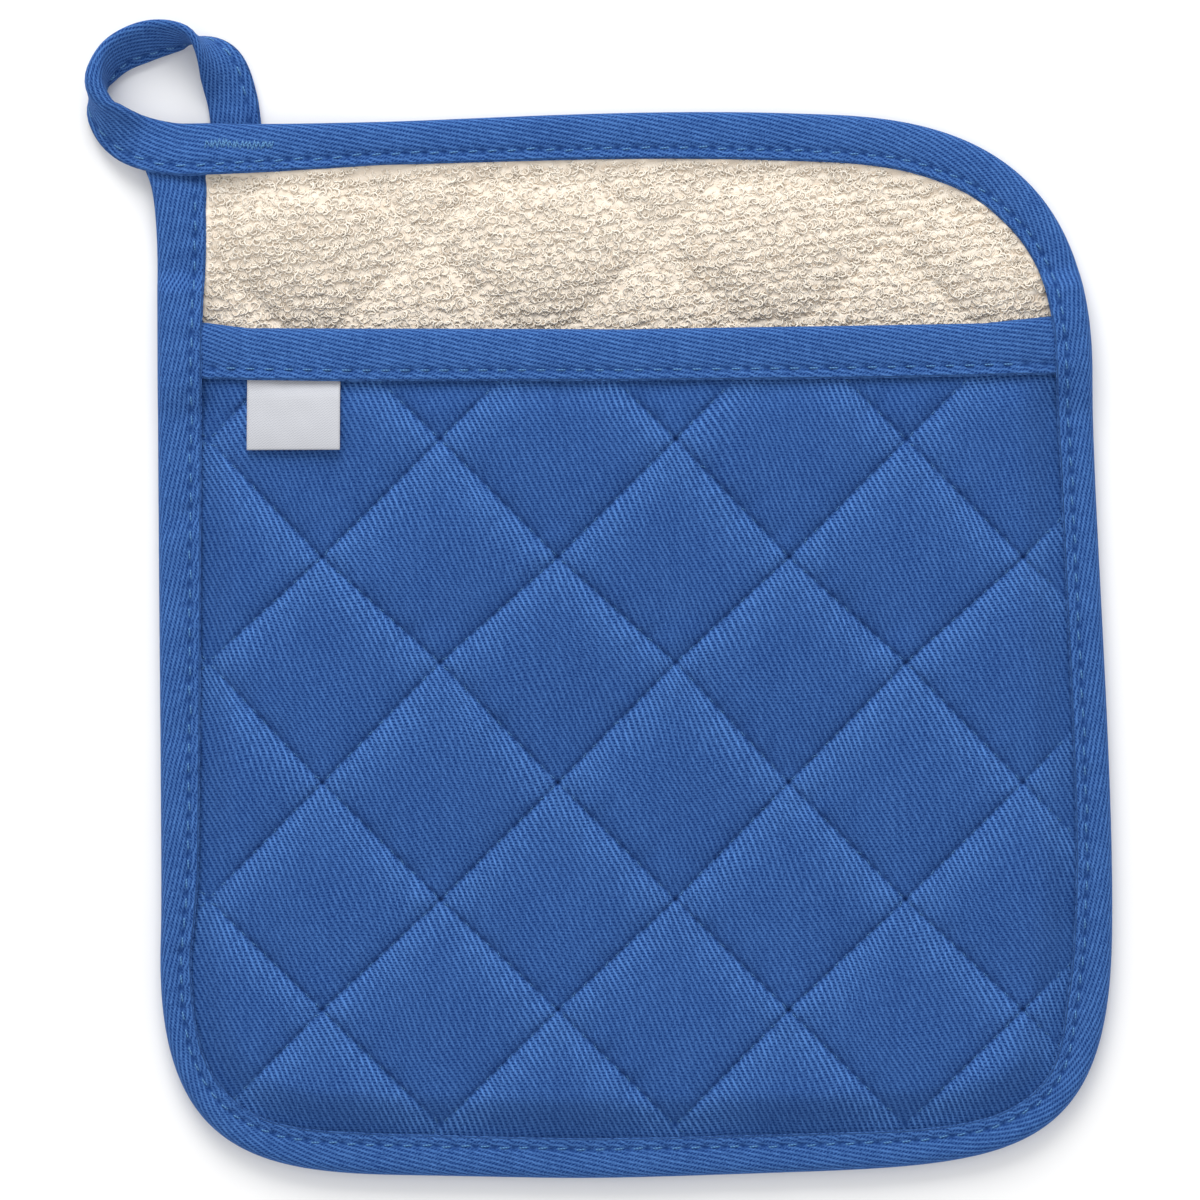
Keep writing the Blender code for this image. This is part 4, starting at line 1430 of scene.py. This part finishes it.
def label_heights(inwards, side):
    """Lower face: the stiff sheet that best fits the pocket, raised clear of it.

    At the top it comes down onto the pocket, where the tape holds it, and at the bottom its
    fold stands off a little. The upper face is two layers above.
    """
    y = LABEL_BOTTOM + inwards
    x = label_x[:, None] + 0 * y
    low = stiff_terms(x, y) @ bend + rise + 0.04 * ripples(x, y, 6.0, 71)
    low = low + LABEL_BOTTOM_RISE * (1 - smooth(inwards / 9.0))
    tuck = smooth((y - label_top + 5.0) / 3.4)
    low = low * (1 - tuck) + (pocket_over(x, y) + 0.03) * tuck
    return low + (2 * LABEL_LAYER + 0.1 if side > 0 else 0.0)


label_width = np.full(len(label_x), label_top - LABEL_BOTTOM)
label_in, label_level = section(label_width, label_heights, LABEL_LAYER, 0.05, LABEL_NOSE)
label_points = np.stack(
    [label_x[:, None] + 0 * label_in, LABEL_BOTTOM + label_in, label_level], axis=-1
)
label = add_tape("woven_label", label_x, label_in, label_points, label_level, label_cloth)
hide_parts("label")

# %% [markdown]
# ## Sewing
#
# A stitch is a short length of thread that comes up through the cloth, lies on it and goes
# down again. All stitches of a seam are one mesh: an array of paths, and round each path a
# tube of a few sides. One curve object to each stitch would be easier to write and far too many
# to handle. The tube's frame is the run of the path, a sideways direction at right angles to it
# and to the cloth, and the direction square to both.


# %% Tubes along many paths
def tube_mesh(paths, radius, normal, sides=4):
    """(points, faces, weave) of tubes: path + radius (cos q sideways + sin q outwards)."""
    many, steps, _ = paths.shape
    run = np.gradient(paths, axis=1)
    run /= np.linalg.norm(run, axis=-1, keepdims=True) + 1e-12
    sideways = np.cross(run, normal)
    sideways /= np.linalg.norm(sideways, axis=-1, keepdims=True) + 1e-12
    outwards = np.cross(sideways, run)
    q = np.arange(sides) * 2 * np.pi / sides + np.pi / sides
    ring = np.cos(q)[:, None] * sideways[..., None, :] + np.sin(q)[:, None] * outwards[..., None, :]
    points = paths[..., None, :] + np.asarray(radius)[..., None, None] * ring
    start = np.arange(many)[:, None, None] * steps * sides
    walls = (grid_faces(steps, sides, wrap=True) + start).reshape(-1, 4)
    first = np.arange(sides)[::-1] + start[:, 0]
    last = (steps - 1) * sides + np.arange(sides) + start[:, 0]
    gone = np.cumsum(np.linalg.norm(np.gradient(paths, axis=1), axis=-1), axis=1)
    weave = np.stack(np.broadcast_arrays(gone[..., None], q), axis=-1)
    return points.reshape(-1, 3), [walls, first, last], weave


def sew(name, paths, radius, normal, finish):
    """One piece of thread, from its paths."""
    points, faces, weave = tube_mesh(paths, np.full(paths.shape[:2], radius), normal)
    return add_mesh(name, points, faces, finish, weave)


STITCH_STEPS = np.linspace(-0.5, 0.5, 6)


def stitch_arch(reach, proud, dive):
    """(shares of a stitch's length, heights): an arch that dives at both ends.

    The height is proud minus (proud + dive) times the third power of twice the share.
    """
    return STITCH_STEPS * reach, proud - (proud + dive) * (2 * np.abs(STITCH_STEPS)) ** 3


# %% Topstitching of the tapes
THREAD = 0.19  # radius
UPRIGHT = np.array((0.0, 0.0, 1.0))
shares, arch = stitch_arch(0.56, THREAD * 0.7, 0.34)


def tape_stitches(name, side, first, last):
    """Stitches along the edge tape, from one number to another."""
    middle = (np.arange(first, last) + 0.5) * STITCH_PITCH
    dice = np.random.default_rng(81 if side > 0 else 82)
    along = middle[:, None] + shares * STITCH_PITCH
    width = np.interp(along, station, station_width)
    wander = 0.12 * dice.standard_normal(len(middle))[:, None]
    inwards = width - STITCH_IN + wander + 0.10 * shares * STITCH_PITCH
    paths = tape_point(along, inwards, side, arch)
    paths[..., 2] = np.maximum(paths[..., 2], THREAD)  # the table presses them in
    return sew(name, paths, THREAD, tape_frame(along)[2] * side, thread)


ALL_STITCHES = int(TAPE_LENGTH / STITCH_PITCH)
top_stitches = tape_stitches("edge_stitches_front", 1, 1, ALL_STITCHES - 3)
under_stitches = tape_stitches("edge_stitches_back", -1, 2, ALL_STITCHES - 2)


def pocket_tape_stitches(name):
    """Stitches along the upper side of the pocket's tape."""
    middle = (np.arange(1, int(pocket_along[-1] / STITCH_PITCH) - 1) + 0.5) * STITCH_PITCH
    along = middle[:, None] + shares * STITCH_PITCH
    share = np.interp(along, pocket_along, pocket_share)
    width = np.interp(along, pocket_along, pocket_width)
    inwards = width - STITCH_IN
    x, y = mouth_place(inwards, share)
    z = pocket_tape_over(x, y, along, inwards, width) + arch
    paths = np.stack([x, y, z], axis=-1)
    return sew(name, paths, THREAD, np.zeros_like(paths) + UPRIGHT, thread)


pocket_stitches = pocket_tape_stitches("pocket_stitches")

# %% [markdown]
# The quilting stitches lie in their furrows, sunk so deep that only their middles show. They
# are found from the lattice: every whole number of a or b is a line, with eleven stitches
# between two crossings.


# %% Quilting stitches
QUILTING_THREAD = 0.15  # radius
LATTICE_MARGIN = 0.2  # no stitch comes nearer than this to the lattice's own ends
MIDDLE_STEP = len(STITCH_STEPS) // 2


def quilting_stitches(name, columns, rows, surface, shown, side, radius):
    """Stitches on every quilting line where `shown(x, y)` is true."""
    lines = np.arange(-len(rows), len(columns) + len(rows))
    stitch = np.arange(lines[0], lines[-1], 1 / STITCHES_A_SIDE) + 0.5 / STITCHES_A_SIDE
    line, middle = (grid.ravel()[:, None] for grid in np.meshgrid(lines, stitch, indexing="ij"))
    reach, sunk = stitch_arch(0.52 / STITCHES_A_SIDE, radius * 0.5, 0.25)
    dice = np.random.default_rng(83)
    along = middle + reach + dice.normal(0.0, 0.06 / STITCHES_A_SIDE, line.shape)
    deep = sunk - np.abs(dice.normal(0.0, 0.09, (2 * len(line), 1)))
    line = line + dice.normal(0.0, 0.25, line.shape) * reach
    a = np.vstack([line, along])
    b = np.vstack([along, line])
    column, row = a + b, a - b
    fits = (column >= LATTICE_MARGIN) & (column <= len(columns) - 1 - LATTICE_MARGIN)
    fits &= (row >= LATTICE_MARGIN) & (row <= len(rows) - 1 - LATTICE_MARGIN)
    fits = fits.all(axis=1)
    x, y = lattice_place(a[fits], b[fits], columns, rows)
    kept = shown(x[:, MIDDLE_STEP], y[:, MIDDLE_STEP])
    x, y, deep = x[kept], y[kept], deep[fits][kept]
    paths = np.stack([x, y, surface(x, y) + side * deep], axis=-1)
    return sew(name, paths, radius, np.zeros_like(paths) + UPRIGHT * side, dull_thread)


def pocket_shown(x, y):
    """Inside the tape and below the pocket's own tape."""
    return (seam_distance(x, y) > -0.5) & (y < mouth_lower(x) + 0.5)


def back_shown(x, y):
    """Inside the tape."""
    return seam_distance(x, y) > -0.5


FAR = np.array(9.0)  # further in than the rim of a cloth
pocket_quilting = quilting_stitches(
    "quilting_stitches_pocket", POCKET_COLUMNS, POCKET_ROWS,
    lambda x, y: pocket_front(x, y, FAR), pocket_shown, 1, QUILTING_THREAD,
)
back_quilting = quilting_stitches(
    "quilting_stitches_back", BACK_COLUMNS, BACK_ROWS,
    lambda x, y: back_twill(x, y, FAR), back_shown, -1, QUILTING_THREAD,
)

# %% [markdown]
# Where the loop's end is caught, a bar of close zigzag is sewn through everything, and a second
# short row of stitches beside the topstitching holds the end down.

# %% Bar tack
BAR_FIRST, BAR_LAST = 756.9, 771.9  # along the tape
BAR_MIDDLE = 4.4  # in from the fold
BAR_HALF = 1.1
BAR_STEP = 0.42
BAR_THREAD = 0.17  # radius
turns = np.arange(0.0, BAR_LAST - BAR_FIRST, BAR_STEP)
bar_dice = np.random.default_rng(91)
bar_along = BAR_LAST - turns + bar_dice.normal(0.0, 0.24, len(turns))
zig = BAR_HALF * np.where(np.arange(len(turns)) % 2 == 0, 1.0, -1.0)
zig = zig * (0.55 + 0.5 * bar_dice.random(len(turns)))
bar_fine = np.linspace(0, 1, 5)[:-1]
bar_a = (bar_along[:-1, None] + np.diff(bar_along)[:, None] * bar_fine).ravel()
bar_z = (zig[:-1, None] + np.diff(zig)[:, None] * bar_fine).ravel()
bar_in = BAR_MIDDLE + bar_z + 0.12 * ripples(bar_a, bar_a * 0, 9.0, 92)
bar_height = 0.07 + 0.12 * np.cos(np.pi * bar_z / BAR_HALF)
bar_path = tape_point(bar_a, bar_in, 1, bar_height)[None]
bar_tack = sew("bar_tack", bar_path, BAR_THREAD, tape_frame(bar_a)[2][None], thread)

# %% The loop end's own row of stitches
END_FIRST, END_LAST = 755.0, 772.5
END_PITCH = 2.5
end_middle = np.arange(END_FIRST, END_LAST, END_PITCH)[:, None]
end_along = end_middle + shares * END_PITCH
end_in = np.interp(end_along, station, station_width) - STITCH_IN + 0.95 + 0.3 * shares
end_path = tape_point(end_along, end_in, 1, arch - 0.06)
end_up = tape_frame(end_along)[2]
end_stitches = sew("end_stitches", end_path, QUILTING_THREAD, end_up, dull_thread)

# %% [markdown]
# ## Terry pile
#
# The pile stands in rows 2.44 mm apart that rise to the right. The feet of its loops are packed
# so close that they make a soft lumpy bed, a little higher along each row. Loops alone, without
# it, would have to be many times as many to hide the ground. The bed is one sheet, fine enough
# to carry the rows, and covers what shows above the pocket and a little way in under it.

# %% The bed of the pile
ROW_PITCH = 2.44
ROW_RISE = np.tan(np.radians(7.0))
ROW_ZERO = 20.0  # y of a row where x is 0
PAST_MOUTH = 11.0  # the pile is finished this far in under the pocket
BED = 0.50
BED_ROWS = (0.58, 0.42)  # shares of the bed that are even, and that rise and fall with the rows
BED_LUMPS = 0.07
BESIDE = 0.85  # the pile is pushed up this much beside the tape that presses it
BESIDE_REACH = 4.5
CORNER_REACH = 10.0  # but not at the corner where the tape starts, which lies lower
CORNER_PRESS = 0.4  # and the bed itself is pressed down there
CORNER_PRESS_REACH = 4.0


def row_wave(x, y):
    """How far a row strays from its straight line."""
    return 0.45 * ripples(x, y * 0.5, 38.0, 102) + 0.22 * ripples(x, y * 1.4, 11.0, 103)


def row_place(x, y):
    """A whole number in the middle of a row: (y - zero - rise x - wave) / pitch."""
    return (y - ROW_ZERO - ROW_RISE * x - row_wave(x, y)) / ROW_PITCH


def row_strength(x, y):
    """The rows are plain on the right and a little lost on the left."""
    return 0.6 + 0.4 * smooth((x + 10.0 + 14.0 * ripples(x, y, 40.0, 104)) / 60.0)


def under_pocket(x, y):
    """Room below the pocket's tape; plenty where nothing is above."""
    return np.where(y < mouth_top(x) + 0.8, pocket_under(x, y) - MOUTH_CLEAR - TAPE, 99.0)


def bed_rows(x, y):
    """Cosine of the place in a row, as strong as the rows are there."""
    return np.cos(2 * np.pi * row_place(x, y)) * row_strength(x, y)


def bed_height(x, y, distance):
    """The ground's height and a share of the bed, more on the rows, nothing at the rim."""
    lumps = BED_LUMPS * (ripples(x, y, 1.9, 105) + ripples(x, y, 5.5, 106))
    seam = seam_distance(x, y)
    from_corner = np.hypot(x - INNER[0][0], y - INNER[0][1])
    beside = BESIDE * (1 - smooth(seam / BESIDE_REACH)) * smooth(1 + seam / 0.9)
    beside = beside * smooth((from_corner - 2.0) / CORNER_REACH)
    thick = BED * (BED_ROWS[0] + BED_ROWS[1] * bed_rows(x, y)) + lumps
    thick = thick * smooth(distance / 1.5) + beside
    thick = thick - CORNER_PRESS * (1 - smooth(from_corner / CORNER_PRESS_REACH))
    return np.minimum(terry_level(x, y) + thick, under_pocket(x, y) - 0.15) - 0.04


def bed_patches_and_row_shade(x, y, columns, rows):
    """Painted shade between the rows, paler on them, with small uneven patches."""
    return 0.5 + 0.28 * bed_rows(x, y) + 0.10 * ripples(x, y, 2.6, 107)


shown_part = BACK_RING[:, 1] > mouth_top(BACK_RING[:, 0]) - PAST_MOUTH
bed_left = BACK_RING[: shown_part.argmin()]
bed_right = BACK_RING[len(BACK_RING) - shown_part[::-1].argmin() :]
bed_x, bed_y = mouth_place(PAST_MOUTH, np.linspace(0, 1, 30)[1:-1])
BED_RING = np.vstack([bed_left, np.stack([bed_x, bed_y], axis=1), bed_right])
VERY_FINE = steps_between(56)
terry_bed = add_cloth(
    "terry_bed", BACK_COLUMNS, BACK_ROWS, VERY_FINE, BED_RING,
    bed_height, terry_ground, True, bed_patches_and_row_shade,
)

# %% [markdown]
# Each loop of the pile is a ring of soft yarn that starts and ends in the bed. Its path is
# p + r (1 - cos q) leaning + r sin q sideways, for q from 20 to 340 degrees, and a small drift
# out of its own plane keeps it from closing, like one turn of a spring. The loops lean over
# each other, nearly flat, and are smaller beside the quilting and where the pocket lies close.
# Particle hair could give a like look, but it is no mesh until it is converted, and it is harder
# to press flat where the pocket lies on it.

# %% Where the loops stand
LOOP_PITCH = 0.64
LINES_A_ROW = 3  # lines of loops in a row
ROW_SPREAD = 0.72  # of the row's pitch that its loops stand on
DENSE_PAST = 2.5  # at full density this far in under the pocket
UNDER_SHARE = 0.15  # and this share of them stands further in
PILE_ROWS = np.arange(-14, 44)
PILE_COLUMNS = np.arange(-88.0, 104.0, LOOP_PITCH)
STRAY = 0.32  # along the row
FROM_SEAM = 0.15
CORNER_FREE = (0.8, 8.0)  # no loops over the lowered start of the tape: its width and length

dice = np.random.default_rng(101)
loop_row, loop_x, line = (
    grid.ravel()
    for grid in np.meshgrid(PILE_ROWS, PILE_COLUMNS, np.arange(LINES_A_ROW), indexing="ij")
)
loop_x = loop_x + dice.uniform(-STRAY, STRAY, len(loop_x))
straight_y = ROW_ZERO + loop_row * ROW_PITCH + ROW_RISE * loop_x
loop_y = straight_y + row_wave(loop_x, straight_y)
loose = 0.42 - 0.27 * row_strength(loop_x, loop_y)
in_row = (line + 0.5) / LINES_A_ROW - 0.5
loop_y = loop_y + in_row * ROW_SPREAD * ROW_PITCH + loose * dice.standard_normal(len(loop_x))
seam = seam_distance(loop_x, loop_y)
past = mouth_top(loop_x) - loop_y
kept = (seam > FROM_SEAM) & (past < PAST_MOUTH - 1.0)
kept &= (past < DENSE_PAST) | (dice.random(len(loop_x)) < UNDER_SHARE)
kept &= (loop_x > INNER[0][0] + CORNER_FREE[0]) | (loop_y < INNER[0][1] - CORNER_FREE[1])
loop_x, loop_y = loop_x[kept], loop_y[kept]
print("loops:", kept.sum())

# %% Terry loops
YARN = 0.185  # radius
LOOP_RADIUS = (0.68, 0.11)  # a mean and a spread, as the next one
LOOP_LEAN = (73.0, 10.0)  # from upright, in degrees
COMBED = 0.55  # share of the loops that lean towards the pocket
BURIED = (0.15, 0.40)  # depth of its feet in the bed
LOOP_TURN = np.radians(np.linspace(20, 340, 7))


def terry_loops(x, y, seed):
    """(points, faces, tints) of loops at places on the bed, none below the ground cloth."""
    dice = np.random.default_rng(seed)
    many = len(x)
    base = bed_height(x, y, FAR)
    size = dice.normal(*LOOP_RADIUS, many).clip(0.38, 0.95)
    a, b = lattice(x, y, BACK_COLUMNS, BACK_ROWS)
    beside_line = np.minimum(off_line(a), off_line(b)) * LINE_PITCH
    size = size * (0.8 + 0.2 * smooth(beside_line / 2.2))
    size = size * (0.6 + 0.4 * smooth(seam_distance(x, y) / 2.0))
    lean = np.radians(dice.normal(*LOOP_LEAN, many).clip(40, 88))
    heading = np.where(
        dice.random(many) < COMBED,
        dice.normal(-np.pi / 2, 0.9, many),
        dice.uniform(0, 2 * np.pi, many),
    )
    room = under_pocket(x, y) - base - YARN - 0.1
    size = np.minimum(size, np.maximum(room, 0.08) / (2 * np.cos(lean) + 0.3))
    level = np.stack([np.cos(heading), np.sin(heading), 0 * heading], axis=1)
    leaning = np.cos(lean)[:, None] * UPRIGHT + np.sin(lean)[:, None] * level
    sideways = np.cross(level, UPRIGHT)
    normal = np.cross(leaning, sideways)
    q = LOOP_TURN[None, :, None]
    r = size[:, None, None]
    squeeze = 0.85 + 0.25 * (1 - np.cos(q)) / 2
    drift = dice.normal(0, 0.16, many)[:, None, None]
    path = np.stack([x, y, base - dice.uniform(*BURIED, many)], axis=1)[:, None]
    path = path + r * (1 - np.cos(q)) * leaning[:, None]
    path = path + r * np.sin(q) * squeeze * sideways[:, None]
    path = path + drift * (q - np.pi) / np.pi * normal[:, None]
    path[..., 2] = np.maximum(path[..., 2], terry_level(x, y)[:, None] + 0.1)
    thickness = YARN * dice.normal(1.0, 0.12, many).clip(0.7, 1.35)
    radius = np.broadcast_to(thickness[:, None], (many, len(LOOP_TURN)))
    points, faces, _ = tube_mesh(path, radius, normal[:, None], sides=3)
    own = dice.normal(0.5, 0.22, many)[:, None]
    # painted shade: darker towards the loop's feet and between the rows, paler at its crown
    tint = own + 0.2 * (1 - np.cos(LOOP_TURN)) / 2 + 0.14 * bed_rows(x, y)[:, None]
    return points, faces, np.repeat(tint[..., None], 3, axis=-1)


order = np.argsort(loop_y)
LOOP_PARTS = 4
for part, chosen in enumerate(np.array_split(order, LOOP_PARTS)):
    points, faces, tint = terry_loops(loop_x[chosen], loop_y[chosen], 110 + part)
    piece = add_mesh(f"terry_loops_{part + 1}", points, faces, terry_yarn, None, tint)

# %% [markdown]

# %% [markdown]
# ## Table and light
#
# A plain white table, one large soft light from beyond the top edge and an even white sky. The
# light comes in low enough to show the quilting and the ribs of the twill, and no lower.


# %% Floor and light
def add_floor(size, colour):
    """A flat square under the pot holder, 0.05 mm below the frame's table level."""
    mesh = bpy.data.meshes.new("floor")
    half = size / 2
    drop = -0.05 * MM
    corners = [(-half, -half, drop), (half, -half, drop), (half, half, drop), (-half, half, drop)]
    mesh.from_pydata(corners, [], [(0, 1, 2, 3)])
    material, tree, shader = new_finish("table_top")
    place = tree.nodes.new("ShaderNodeTexCoord")
    grain = noise(tree, place.outputs["Object"], 3.0)
    tone = mix_colour(tree, grain, [c * 0.995 for c in colour], colour)
    tree.links.new(tone, shader.inputs["Base Color"])
    shader.inputs["Roughness"].default_value = 0.9
    mesh.materials.append(material)
    floor = bpy.data.objects.new("floor", mesh)
    bpy.context.scene.collection.objects.link(floor)


def add_soft_light(name, place, size, power):
    """A square light that faces the pot holder."""
    lamp = bpy.data.lights.new(name, "AREA")
    lamp.shape = "SQUARE"
    lamp.size = size
    lamp.energy = power
    holder = bpy.data.objects.new(name, lamp)
    holder.location = place
    from_here = -holder.location
    holder.rotation_mode = "QUATERNION"
    holder.rotation_quaternion = from_here.to_track_quat("-Z", "Y")
    bpy.context.scene.collection.objects.link(holder)


add_floor(4.0, (0.93, 0.93, 0.93))
add_soft_light("soft_light_far", (-0.15, 1.10, 0.80), 0.9, 14.0)
sky = bpy.data.worlds.new("sky")
sky.use_nodes = True
sky.node_tree.nodes["Background"].inputs["Color"].default_value = (1.0, 1.0, 1.0, 1.0)
sky.node_tree.nodes["Background"].inputs["Strength"].default_value = 0.85
bpy.context.scene.world = sky
bpy.context.scene.view_settings.view_transform = "Standard"
